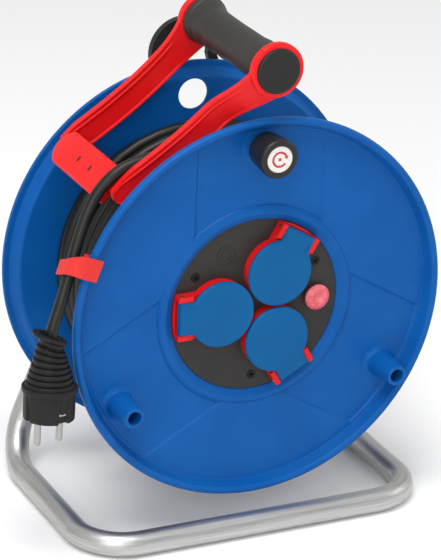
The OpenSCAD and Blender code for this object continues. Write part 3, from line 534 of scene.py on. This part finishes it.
# ---- Rear bracket ----
# Two black glass-filled nylon halves that clamp the legs and carry the axle, held by five
# screws. The moulding is coarse-grained and dull.
black = moulded("black_nylon", (0.013, 0.0128, 0.0122), (0.023, 0.0225, 0.021), 0.5, grain=0.9, shine=0.25)
for name in ("rear_bracket", "bracket_cover", "cable_gland", "thermal_cutout"):
    wear(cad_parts[name], black)
steel = Finish("zinc_steel")
where = steel.place()
cloud = steel.noise(where, 420.0, 3.0)
steel.feed(Base_Color=steel.mix(cloud.rise(0.3, 0.7), (0.46, 0.46, 0.45), (0.62, 0.62, 0.60)), Metallic=1.0,
           Roughness=cloud * 0.15 + 0.22, Normal=steel.bump(cloud, 0.3, 0.0001))
for name in ("bracket_screws", "axle", "axle_washer", "grip_bolt", "grip_nut", "drum_screws", "knob_pin",
             "knob_washer"):
    wear(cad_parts[name], steel)
spring = Finish("spring_steel")
where = spring.place()
drawn = spring.noise(spring.stretched(where, (300.0, 1500.0, 300.0)), 1.0, 3.0)
spring.feed(Base_Color=spring.mix(drawn.rise(0.3, 0.7), (0.22, 0.22, 0.22), (0.36, 0.36, 0.35)),
            Metallic=1.0, Roughness=drawn * 0.2 + 0.24, Normal=spring.bump(drawn, 0.3, 0.0001))
for name in ("axle_circlip", "earth_clips", "button_spring", "lid_springs"):
    wear(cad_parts[name], spring)
ivory = moulded("ivory_plastic", (0.55, 0.5, 0.39), (0.66, 0.62, 0.5), 0.5)
for name in ("hub_bushes", "terminal_block", "thrust_washer"):
    wear(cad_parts[name], ivory)

# ---- Drum ----
# Two flanges moulded in blue plastic, screwed together through the barrel. Three sunken strips
# run out to the rim, which rises to a rolled edge. The finish is satin, with a fine grain.
blue = moulded("blue_plastic", (0.0024, 0.084, 0.325), (0.0048, 0.106, 0.375), 0.38, grain=0.45, shine=0.12)
drum_r, half_w, face_s, wall = 0.145, 0.070, 0.0605, 0.0034
inner_s = face_s - wall
plate_r, ring_r, bevel_r, rim_in = 0.0655, 0.076, 0.1365, 0.1398
strip_half, strip_deep = 0.051, 0.0015


def flange_face(r, across, s, sink):
    """How far a point of the flange's face lies along the axis: its own profile, less the depth
    of a strip, which has sloping sides and fades out at the ring and at the rim."""
    strip = 1 - smooth(abs(across), strip_half - 0.0018, strip_half + 0.0002)
    reach = smooth(r, ring_r + 0.0002, ring_r + 0.0016) * (1 - smooth(r, bevel_r - 0.003, bevel_r - 0.0012))
    return s - sink * strip_deep * strip * reach


def flange(name, profile, way):
    """A flange from its profile [radius, s, 1 on the outer face]: the profile is carried round in
    columns that follow the strips' straight edges, and fan out between them."""
    r, s, outer = profile[:, :1], profile[:, 1:2], profile[:, 2:]
    even = np.linspace(-strip_half + 0.0035, strip_half - 0.0035, 34)
    edge = np.array([-0.0026, -0.0018, -0.0012, -0.0006, 0.0, 0.0006])
    across = np.concatenate([-strip_half - edge[::-1], even, strip_half + edge])
    held = np.clip(r, ring_r, bevel_r)
    strip_angle = np.arcsin(across / held)
    fan = np.linspace(0, 1, 40)[1:-1]
    first, last = strip_angle[:, -1:], 2 * np.pi / 3 + strip_angle[:, :1]
    angle = np.concatenate([strip_angle, first + (last - first) * fan], 1)
    whole = np.concatenate([angle + math.pi / 2 + k * 2 * math.pi / 3 for k in range(3)], 1)
    off = held * np.sin(angle)
    off[:, len(across):] = 1.0
    s = flange_face(r, np.tile(off, 3), s + 0 * whole, outer)
    s = s * way
    return surface(name, from_drum(r * np.cos(whole), s, r * np.sin(whole)), "drum", blue, "blue_plastic",
                   ends="join", sharp=28)


def with_face(points, on):
    return np.concatenate([points, np.full((len(points), 1), float(on))], 1)


def flats(low, high, count, s):
    """Points along a flat part of a face, so that the strips' ends have points to bend at."""
    return [(r, s) for r in np.linspace(low, high, count)]


rim = rounded([
    (bevel_r - 0.0012, face_s), (bevel_r, face_s, 0.0012), (rim_in - 0.0003, half_w - 0.0012, 0.0014),
    (0.1414, half_w, 0.0016), (drum_r - 0.0016, half_w, 0.0014), (drum_r, half_w - 0.0018, 0.0014),
    (drum_r, half_w - 0.0046, 0.0005), (drum_r - 0.0006, half_w - 0.005, 0.0005),
    (rim_in, half_w - 0.005, 0.001), (bevel_r - 0.0012, inner_s, 0.002), (bevel_r - 0.012, inner_s),
], 0.0008, 5)
face_line = np.array(
    flats(ring_r, ring_r + 0.0018, 7, face_s) + flats(ring_r + 0.004, bevel_r - 0.0045, 8, face_s)
    + flats(bevel_r - 0.0034, bevel_r - 0.0013, 8, face_s)
)
front_ring = rounded([
    (plate_r + 0.0002, inner_s - 0.004), (plate_r + 0.0002, 0.0586, 0.0008),
    (0.0712, face_s + 0.0012, 0.0012), (ring_r - 0.0012, face_s + 0.0004, 0.0012),
    (ring_r - 0.0002, face_s - 0.0002),
], 0.0008, 5)
front_profile = np.concatenate([
    with_face(front_ring, 0), with_face(face_line, 1), with_face(rim, 0),
    with_face(np.array([(0.090, inner_s), (0.0735, inner_s), (0.0735, inner_s - 0.004)]), 0)])
front_flange = flange("front_flange", front_profile, 1)
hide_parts("drum_front")
rear_ring = np.array([(0.0122, inner_s), (0.0122, face_s), (0.0165, face_s), (0.045, face_s),
                      (ring_r - 0.0002, face_s)])
rear_profile = np.concatenate([
    with_face(rear_ring, 0), with_face(face_line, 1), with_face(rim, 0),
    with_face(np.array([(0.075, inner_s), (0.02, inner_s)]), 0)])
rear_flange = flange("rear_flange", rear_profile, -1)


def turned(name, line, body, finish, slot, right=0.0, up=0.0, ends="cap", columns=96, **kw):
    """A profile of [radius, s] turned about a line along the drum's axis."""
    turn = np.linspace(0, 2 * np.pi, columns, endpoint=False)
    r, s = line[:, :1], line[:, 1:]
    return surface(name, from_drum(right + r * np.cos(turn), s, up + r * np.sin(turn)), body, finish,
                   slot, ends=ends, **kw)


def cut(piece, right, up, low, high, r):
    """Bores a round hole through a piece, from s = low to high."""
    turn = np.linspace(0, 2 * np.pi, 64, endpoint=False)
    s = np.array([[low], [high]])
    tool = surface("tool", from_drum(right + r * np.cos(turn) + 0 * s, s, up + r * np.sin(turn) + 0 * s),
                   "root", blue, "blue_plastic")
    job = piece.modifiers.new("hole", "BOOLEAN")
    job.operation, job.object, job.solver = "DIFFERENCE", tool, "EXACT"
    ready = piece.evaluated_get(bpy.context.evaluated_depsgraph_get())
    mesh = bpy.data.meshes.new_from_object(ready)
    piece.modifiers.clear()
    piece.data = mesh
    bpy.data.objects.remove(tool)
    mesh.polygons.foreach_set("use_smooth", np.ones(len(mesh.polygons), bool))
    mesh.set_sharp_from_angle(angle=math.radians(28))


hole_u, hole_r, screw_u, screw_r, boss_u = 0.122, 0.01175, 0.064, 0.004, 0.121
cut(rear_flange, 0.0, hole_u, -0.066, -0.05, hole_r)
for k in (45, 135, 225, 315):
    around = math.radians(k)
    cut(rear_flange, screw_u * math.cos(around), screw_u * math.sin(around), -0.0615, -0.0583, screw_r)
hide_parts("drum_rear")
turned("barrel", np.array([(0.0718, 0.0565), (0.075, 0.0565), (0.075, -0.0565), (0.0718, -0.0565)]),
       "drum", blue, "blue_plastic", ends="join", sharp=30)
turned("plate_seat", np.array([(0.0615, 0.0508), (0.0735, 0.0508), (0.0735, 0.0538), (0.0615, 0.0538)]),
       "drum", blue, "blue_plastic", ends="join", sharp=30)
turned("hub", np.array([(0.0121, -0.0604), (0.016, -0.0604), (0.016, -0.0465), (0.0121, -0.0465)]),
       "drum", blue, "blue_plastic", ends="join", sharp=30)
for name, angle in (("foot_boss_left", 210), ("foot_boss_right", 330)):
    line = rounded([(0.0142, 0.0586), (0.0098, 0.0606, 0.004), (0.0076, 0.088, 0.0012),
                    (0.005, 0.088, 0.0009), (0.0048, 0.0635, 0.0008), (0.0, 0.0632)], 0.001, 5)
    turned(name, line, "drum", blue, "blue_plastic", boss_u * math.cos(math.radians(angle)),
           boss_u * math.sin(math.radians(angle)), sharp=35)
knob_boss = rounded([(0.0175, 0.0586), (0.0092, 0.0603, 0.003), (0.0081, 0.0635, 0.0005),
                     (0.0041, 0.0635)], 0.0006, 4)
turned("knob_boss", knob_boss, "drum", blue, "blue_plastic", 0.0, boss_u, sharp=35)
wear(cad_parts["plate_gasket"], plug_rubber)

# ---- Socket plate ----
# A matt black disc sunk in the front flange. It carries three sockets with lids, a reset button
# and three recessed black screws, over a rubber gasket.
plate_black = moulded("plate_black", (0.024, 0.0225, 0.021), (0.036, 0.034, 0.031), 0.56, grain=1.0)
wear(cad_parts["socket_plate"], plate_black)
dark_screw = Finish("black_screw")
where = dark_screw.place()
cloud = dark_screw.noise(where, 900.0, 3.0)
dark_screw.feed(Base_Color=dark_screw.mix(cloud, (0.003, 0.003, 0.003), (0.010, 0.010, 0.010)), Metallic=0.6,
                Roughness=cloud * 0.15 + 0.24, Normal=dark_screw.bump(cloud, 0.3, 0.0001))
wear(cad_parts["plate_screws"], dark_screw)
red = moulded("red_plastic", (0.66, 0.0075, 0.011), (0.78, 0.018, 0.017), 0.34, grain=0.35, shine=0.2)
for k in (1, 2, 3):
    wear(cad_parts[f"socket_{k}"], red)
    wear(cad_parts[f"lid_seal_{k}"], plug_rubber)
brass = Finish("brass")
where = brass.place()
cloud = brass.noise(where, 700.0, 3.0)
brass.feed(Base_Color=brass.mix(cloud.rise(0.3, 0.7), (0.48, 0.34, 0.12), (0.66, 0.5, 0.22)), Metallic=1.0,
           Roughness=cloud * 0.18 + 0.22, Normal=brass.bump(cloud, 0.3, 0.0001))
for name in ("contact_sleeves", "lid_pins"):
    wear(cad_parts[name], brass)

# ---- Socket lids ----
# A round sprung lid with a tongue that runs back to its hinge, in a slightly greener blue than
# the flanges. Its edge is rounded and its face is very slightly crowned.
lid_blue = moulded("lid_plastic", (0.0008, 0.092, 0.265), (0.0016, 0.113, 0.315), 0.34, grain=0.35,
                   shine=0.12)
socket_u, lid_r, lid_front, lid_back = 0.0298, 0.025, 0.0685, 0.065
hinge_u, hinge_s, tongue = socket_u + lid_r + 0.0052, lid_back - 0.0015, 0.0124


def pad(name, outline, rows, place, body, finish, slot, **kw):
    """A closed pad. outline is a ring of points round a middle, rows are [inset, height]: each row
    is the outline moved in by its inset towards the middle, or scaled if the inset is below 0."""
    size = np.linalg.norm(outline, axis=1, keepdims=True)
    rings = []
    for inset, height in rows:
        shrunk = outline * (1 - inset / size) if inset >= 0 else outline * (1 + inset)
        rings.append(place(shrunk[:, 0], shrunk[:, 1], height))
    return surface(name, np.stack(rings), body, finish, slot, **kw)


turn = np.linspace(-math.pi, math.pi, 240, endpoint=False) + 0.003
edge_u = hinge_u - socket_u + 0.0026
tongue_r = np.minimum(tongue / np.maximum(abs(np.sin(turn)), 1e-6), edge_u / np.maximum(np.cos(turn), 1e-6))
lid_outline_r = np.where(np.cos(turn) > 0, np.maximum(np.minimum(tongue_r, 0.036), lid_r), lid_r)
lid_outline = lid_outline_r[:, None] * np.stack([np.cos(turn), np.sin(turn)], -1)
for k, degrees in ((1, 180), (2, 60), (3, 300)):
    around = math.radians(degrees)

    def on_lid(u, v, s, around=around):
        """Points given outwards from the lid's middle, sideways and forwards."""
        u = u + socket_u
        return from_drum(u * math.cos(around) - v * math.sin(around), s + 0 * u,
                         u * math.sin(around) + v * math.cos(around))

    def crowned(u, v, s, on_lid=on_lid):
        rise = 0.0007 * (1 - np.clip((u**2 + v**2) / lid_r**2, 0, 1)) * (s > lid_back + 0.0025)
        low = 0.0011 * smooth(u, 0.0245, 0.0262) * (s > lid_back + 0.002)
        return on_lid(u, v, s + rise - low)

    rows = [
        (-0.99, lid_back), (-0.5, lid_back), (0.0012, lid_back), (0.0004, lid_back + 0.0003),
        (0, lid_back + 0.0009), (0, lid_front - 0.0014), (0.0001, lid_front - 0.0010),
        (0.0004, lid_front - 0.0005), (0.0009, lid_front - 0.0001), (0.0014, lid_front),
        (0.0018, lid_front), (-0.2, lid_front), (-0.4, lid_front), (-0.6, lid_front),
        (-0.8, lid_front), (-0.99, lid_front),
    ]
    lid = pad(f"lid_{k}_moulded", lid_outline, rows, crowned, f"lid_{k}", lid_blue, "lid_plastic", sharp=50)
    v = np.array([-tongue, -tongue + 0.0004, tongue - 0.0004, tongue])[:, None]
    knuckle_r = np.array([0.0026, 0.003, 0.003, 0.0026])[:, None]
    barrel_u = hinge_u - socket_u + knuckle_r * np.cos(spin)
    surface(f"lid_{k}_knuckle", on_lid(barrel_u, v + 0 * barrel_u, hinge_s + knuckle_r * np.sin(spin)),
            f"lid_{k}", lid_blue, "lid_plastic", sharp=50)
    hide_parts(f"lid_{k}")

# ---- Reset button ----
# A soft pink translucent cap with a dimple, over the thermal cut-out.
pink = Finish("pink_button")
where = pink.place()
cloud = pink.noise(where, 160.0, 3.0)
pink.feed(
    Base_Color=pink.mix(cloud.rise(0.35, 0.65), (0.62, 0.085, 0.115), (0.76, 0.16, 0.19)),
    Roughness=cloud * 0.1 + 0.28, Normal=pink.bump(cloud, 0.4, 0.0002),
    Subsurface_Weight=0.35, Subsurface_Radius=(0.004, 0.0015, 0.0015), Subsurface_Scale=1.0,
)
line = rounded([(0, 0.0549), (0.003, 0.0549), (0.003, 0.0603, 0.0002), (0.0097, 0.0603, 0.0005),
                (0.0097, 0.0622, 0.001), (0.0068, 0.0642, 0.0016),
                (0.0046, 0.0637, 0.001), (0.0022, 0.0616, 0.0012), (0, 0.0614)], 0.0006, 5)
button = turned("reset_button_cap", line, "button", pink, "pink_button", 0.049, 0.0, sharp=60)
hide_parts("reset_button")

# ---- Winding knob ----
# A black cup that turns on a steel pin near the rim, closed by a pressed-in white disc that
# carries a plain red turning arrow.
knob_u, knob_r = boss_u, 0.0145
line = rounded([(0.0041, 0.0638), (0.0128, 0.0638, 0.0008), (knob_r, 0.0815, 0.002),
                (knob_r, 0.0862, 0.0012), (0.0128, 0.088, 0.0012),
                (0.0099, 0.088, 0.0006), (0.0098, 0.0816, 0.0004), (0.0041, 0.0816)], 0.0008, 5)
gloss_black = moulded("knob_black", (0.0125, 0.012, 0.0115), (0.022, 0.021, 0.020), 0.36, grain=0.4)
knob = turned("knob_cup", line, "knob", gloss_black, "black_plastic", 0.0, knob_u, ends="join", sharp=40)
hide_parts("knob")
label = Finish("white_label")
x, y, z = label.axes(label.place())
z = z - float(drum_centre[2] + knob_u)
reach = (x * x + z * z).root()
angle = z.angle(x)
band = 1 - abs(reach - 0.0052).rise(0.00075, 0.00095)
open_part = abs(angle + 0.2).rise(0.42, 0.46)
head_x, head_z = x - 0.0052 * math.cos(0.35), z - 0.0052 * math.sin(0.35)
along = head_x * math.sin(0.35) - head_z * math.cos(0.35)
over = head_x * math.cos(0.35) + head_z * math.sin(0.35)
head = (1 - (abs(over) + along * 0.8).rise(0.00165, 0.0018)) * along.rise(-0.0003, -0.0001)
dot = 1 - reach.rise(0.0012, 0.0014)
mark = (band * open_part).most(head).most(dot)
paper = label.noise(label.place(), 500.0, 3.0)
label.feed(Base_Color=label.mix(mark, (0.72, 0.70, 0.68), (0.52, 0.03, 0.035)), Roughness=paper * 0.15 + 0.3,
           Normal=label.bump(paper, 0.2, 0.00005))
wear(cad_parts["knob_label"], label)

# ---- Cable guide ----
# Two red glass-filled arms come down from the grip, one inside each flange. The rear one ends in
# a crossbar that lies over the winding. Each has a double ridge along its upper edge.
grip_up, arm_half, arm_deep = 0.183, 0.011, 0.005
arm_points = np.array([[0, 0.183], [-0.028, 0.149], [-0.062, 0.122], [-0.106, 0.097]])
rear_arm_s, front_arm_s, eye_s, arm_reach = -0.044, 0.0563, 0.073, 0.1503
guide_red = moulded("guide_red", (0.73, 0.0075, 0.009), (0.81, 0.019, 0.017), 0.34, grain=0.35, shine=0.2)


def arm(name, depth, widen, last, half_end):
    """An arm: a fixed cross-section with two ridges, carried along a cubic curve. Its depth along
    the drum's axis and its half width change along the way."""
    t = np.concatenate([np.linspace(0, 0.9, 70, endpoint=False), np.linspace(0.9, last, 26)])[:, None]
    a, b, c, d = arm_points
    line = (1 - t) ** 3 * a + 3 * t * (1 - t) ** 2 * b + 3 * t * t * (1 - t) * c + t**3 * d
    way = 3 * (1 - t) ** 2 * (b - a) + 6 * t * (1 - t) * (c - b) + 3 * t * t * (d - c)
    way /= np.linalg.norm(way, axis=1, keepdims=True)
    side = np.stack([way[:, 1], -way[:, 0]], -1)
    section = rounded([
        (-0.002, -0.005), (0.011, -0.005, 0.0008), (0.011, 0, 0.0007), (0.0094, 0, 0.0005),
        (0.0088, -0.0016, 0.0004), (0.0078, -0.0016, 0.0004), (0.0072, -0.0001, 0.0005),
        (0.0058, -0.0001, 0.0006), (0.0049, -0.0017, 0.0008), (-0.0088, -0.0017, 0.0008),
        (-0.0096, -0.0009, 0.0005), (-0.011, -0.0009, 0.0007), (-0.011, -0.005, 0.0008),
        (-0.002, -0.005),
    ], 0.0006, 3)[-2::-1]
    v, s = section[:, 0], section[:, 1]
    wide = widen(t) / arm_half
    edge = np.where(v > 0.004, v + (wide - 1) * arm_half, v * wide)
    edge = edge * half_end(t)
    plain = smooth(t, 0.16, 0.36)
    s = s * np.where(s > -0.003, plain, 1)
    across, up_way = line[:, :1] + side[:, :1] * edge, line[:, 1:] + side[:, 1:] * edge
    inside = np.minimum(1, arm_reach / np.hypot(across, up_way)) * (t > 0.7) + (t <= 0.7)
    across, up_way = across * inside, up_way * inside
    return surface(name, from_drum(across, depth(t) + s, up_way), "root", guide_red, "red_plastic", sharp=35)


def flare(t):
    """Half the arm's width: it opens to the eye's radius at the grip."""
    return arm_half + 0.0072 * np.clip(1 - t / 0.3, 0, 1) ** 2


rear_arm = arm("guide_arm_rear", lambda t: rear_arm_s + 0 * t, flare, 1.0, lambda t: 1 + 0 * t)
front_arm = arm(
    "guide_arm_front",
    lambda t: front_arm_s + (eye_s + arm_deep - front_arm_s) * (1 - smooth(t, 0.04, 0.40)),
    flare, 1.04,
    lambda t: np.sqrt(np.clip(1 - np.clip((t - 0.955) / 0.0852, 0, 1) ** 2, 0.0004, 1)),
)
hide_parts("guide_front")
eye_line = rounded([(0, -0.005), (0.020, -0.005, 0.0008), (0.020, 0.0003, 0.0016), (0, 0.0003)], 0.0008, 4)
for name, s, wide in (("guide_eye_rear", rear_arm_s, 0.94), ("guide_eye_front", eye_s + arm_deep, 1.0)):
    turned(name, eye_line * [wide, 1] + [0, s], "root", guide_red, "red_plastic", 0.0, grip_up, sharp=40)

# The crossbar's outer face is slightly crowned and its rear end is round. Two small slots in it take a cable
# tie; they are not cut, but drawn as thin dark-red sheets on the face whose colour is painted shade.
bar_angle, bar_out, bar_deep, bar_half = math.radians(137.5), 0.1515, 0.011, 0.014
bar_from, bar_to = -0.049, 0.0408
middle_s, half_s = (bar_from + bar_to) / 2, (bar_to - bar_from) / 2
round_end = np.linspace(math.pi, math.pi / 2, 24)[:, None]
round_end = np.concatenate([bar_half - half_s + bar_half * np.cos(round_end),
                            bar_half * np.sin(round_end)], 1)
square_end = rounded([round_end[-1], (half_s, bar_half), (half_s, -bar_half), round_end[-1] * [1, -1]],
                     0.003, 10)
bar_outline = np.vstack([round_end[:-1], square_end, round_end[-2:0:-1] * [1, -1]])
closed = np.vstack([bar_outline, bar_outline[:1]])
fine_turn = np.concatenate([[0], np.cumsum(np.linalg.norm(np.diff(closed, axis=0), axis=1))])
even = np.linspace(0, fine_turn[-1], 180, endpoint=False)
bar_outline = np.stack([np.interp(even, fine_turn, closed[:, k]) for k in range(2)], -1)


def on_bar(a, v, u):
    """Points of the crossbar: along it, across it, and out from the drum's axis; its outer face
    is crowned across and falls away a little towards the rear end."""
    crown = 0.0013 * (1 - (v / bar_half) ** 2) - 0.0012 * smooth(-a, 0.030, 0.046)
    u = u + np.where(u > bar_out - 0.006, crown - 0.0013, 0)
    return from_drum(u * math.cos(bar_angle) - v * math.sin(bar_angle), middle_s + a,
                     u * math.sin(bar_angle) + v * math.cos(bar_angle))


low = bar_out - bar_deep
rows = [
    (-0.99, low), (-0.5, low), (0.0016, low), (0.0005, low + 0.0004), (0, low + 0.0014),
    (0, bar_out - 0.0034), (0.0003, bar_out - 0.0018), (0.0011, bar_out - 0.0007),
    (0.0024, bar_out - 0.0001), (0.004, bar_out),
] + [(-k, bar_out) for k in (0.3, 0.45, 0.6, 0.75, 0.9, 0.99)]
pad("guide_crossbar", bar_outline, rows, on_bar, "root", guide_red, "red_plastic", sharp=50)
# Painted shade for the slots: a darker copy of the guide red with a random mottle, on sheets laid over the
# face.
slot_shade = Finish("slot_painted_shade")
where = slot_shade.place()
shade_mottle = slot_shade.noise(where, 900.0, 2.0)
slot_shade.feed(Base_Color=slot_shade.mix(shade_mottle, (0.075, 0.002, 0.003), (0.13, 0.004, 0.005)),
            Roughness=shade_mottle * 0.2 + 0.6, Normal=slot_shade.bump(shade_mottle, 0.2, 0.0001))
turn = np.linspace(0, 2 * np.pi, 32, endpoint=False)
squared = np.stack([np.sign(np.cos(turn)) * abs(np.cos(turn)) ** 0.4 * 0.0014,
                    np.sign(np.sin(turn)) * abs(np.sin(turn)) ** 0.4 * 0.0023], -1)
for k, s in enumerate((-0.007, 0.013)):
    def on_slot(a, v, u, s=s):
        return on_bar(a + s - middle_s, v, u)

    pad(f"guide_slot_shade_{k}", squared, [(-0.9, bar_out - 0.001), (0, bar_out - 0.001), (0, bar_out + 0.0001),
                                     (-0.9, bar_out + 0.0001)], on_slot, "root", slot_shade, "red_plastic")
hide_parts("guide_rear")

# ---- Carrying grip ----
# A soft black sleeve on a steel bolt: a wide collar at the rear, a thumb stop on top of it,
# finger ridges underneath and a flat along its upper right side. A flat cap closes the front.
grip_rubber = moulded("grip_rubber", (0.0235, 0.0225, 0.021), (0.038, 0.037, 0.034), 0.46, grain=1.2,
                      size=3200.0)
turn = np.linspace(0, 2 * np.pi, 128, endpoint=False)
line = rounded([(0.0054, -0.044), (0.0166, -0.044, 0.0012), (0.0172, -0.0415, 0.001),
                (0.0168, -0.0378, 0.001), (0.0154, -0.0364, 0.0012), (0.0152, -0.030, 0.004),
                (0.0146, 0.005, 0.02), (0.0150, 0.060, 0.01), (0.0148, 0.073, 0.001), (0.0054, 0.073)],
                0.001, 6)
length = np.concatenate([[0], np.cumsum(np.linalg.norm(np.diff(line, axis=0), axis=1))])
even = np.union1d(length, np.linspace(0, length[-1], 110))
line = np.stack([np.interp(even, length, line[:, k]) for k in range(2)], -1)
r, s = line[:, :1], line[:, 1:]
shell = smooth(r, 0.0135, 0.0142)
under = np.clip(-np.sin(turn + 0.25), 0, 1) ** 2
reach_in = smooth(s, -0.037, -0.030) * (1 - smooth(s, 0.040, 0.052))
fingers = (0.0012 * under * smooth(s, -0.037, -0.030) * (1 - smooth(s, 0.002, 0.014))
           * np.cos((s + 0.030) * 2 * np.pi / 0.0185))
flat = -0.0009 * np.clip(np.cos(turn - 0.85), 0, 1) ** 8 * reach_in
stop = 0.0026 * np.clip(np.sin(turn + 0.2), 0, 1) ** 4 * np.exp(-((s + 0.0345) / 0.0075) ** 2)
r = r + shell * (fingers + flat + stop)
grip = surface("grip_sleeve_soft", from_drum(r * np.cos(turn), s + 0 * r, grip_up + r * np.sin(turn)),
               "root", grip_rubber, "grip_rubber", sharp=50)
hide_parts("grip_sleeve")
cap_line = rounded([(0, 0.0765), (0.0164, 0.0765, 0.0004), (0.0164, 0.0796, 0.0007),
                    (0.0148, 0.0808, 0.0008), (0.0, 0.0810)], 0.0008, 5)
cap = turned("grip_cap_moulded", cap_line, "root", black, "black_plastic", 0.0, grip_up, sharp=50)
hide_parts("grip_cap")

# ---- Cable clip ----
# A red strip bent round the cable, with a tab over the front of the rim and a hook behind it.
clip_red = moulded("clip_red", (0.62, 0.026, 0.022), (0.72, 0.042, 0.035), 0.42, grain=0.5, shine=0.2)
clip_angle, clip_half, clip_thick = math.radians(159.3), 0.008, 0.0009
clip_section = rounded([
    (-clip_half, 0), (-clip_half, clip_thick), (clip_half, clip_thick), (clip_half, -clip_thick),
    (-clip_half, -clip_thick), (-clip_half, 0),
], 0.0005, 3)[:-1]


def strip(name, points, radius, narrow, skew):
    """A flat strip that follows a path [out from the drum's axis, s]. The rounded section is set
    across the path: its thickness along the path's normal, its width along the rim. The width
    shrinks by the share narrow towards the path's end, which is also turned by the angle skew."""
    path = rounded(points, radius, 12)
    way = np.gradient(path, axis=0)
    way /= np.linalg.norm(way, axis=1, keepdims=True)
    out = path[:, :1] + way[:, 1:] * clip_section[:, 1]
    s = path[:, 1:] - way[:, :1] * clip_section[:, 1]
    along = np.concatenate([[0], np.cumsum(np.linalg.norm(np.diff(path, axis=0), axis=1))])[:, None]
    v = clip_section[:, 0] * (1 - narrow * smooth(along / along[-1], 0.25, 0.75)) + 0 * out
    angle = clip_angle + skew * smooth(along / along[-1], 0.3, 1.0)
    place = from_drum(out * np.cos(angle) - v * np.sin(angle), s, out * np.sin(angle) + v * np.cos(angle))
    return surface(name, place, "root", clip_red, "red_plastic", sharp=50)


clip = strip("cable_clip_strap", [(0.1364, 0.0714), (0.1500, 0.0712, 0.007), (0.1566, 0.0655, 0.007),
                                  (0.1566, 0.0500, 0.004), (0.1532, 0.0466)], 0.006, 0.3, math.radians(3.5))
strip("cable_clip_hook", [(0.1475, 0.0708), (0.1475, 0.0632, 0.001), (0.1412, 0.0632)], 0.001, 0.0, 0.0)
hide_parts("cable_clip")

# ---- Floor ----
# A plain pale floor, which isn't part of the reel.
ground = Finish("floor_pale", Base_Color=(0.95, 0.95, 0.95), Roughness=0.9, Specular_IOR_Level=0.1)
sheet = bpy.data.meshes.new("floor")
sheet.from_pydata([(-8, -8, 0), (8, -8, 0), (8, 8, 0), (-8, 8, 0)], [], [(0, 1, 2, 3)])
floor = bpy.data.objects.new("floor", sheet)
bpy.context.scene.collection.objects.link(floor)
wear(floor, ground)
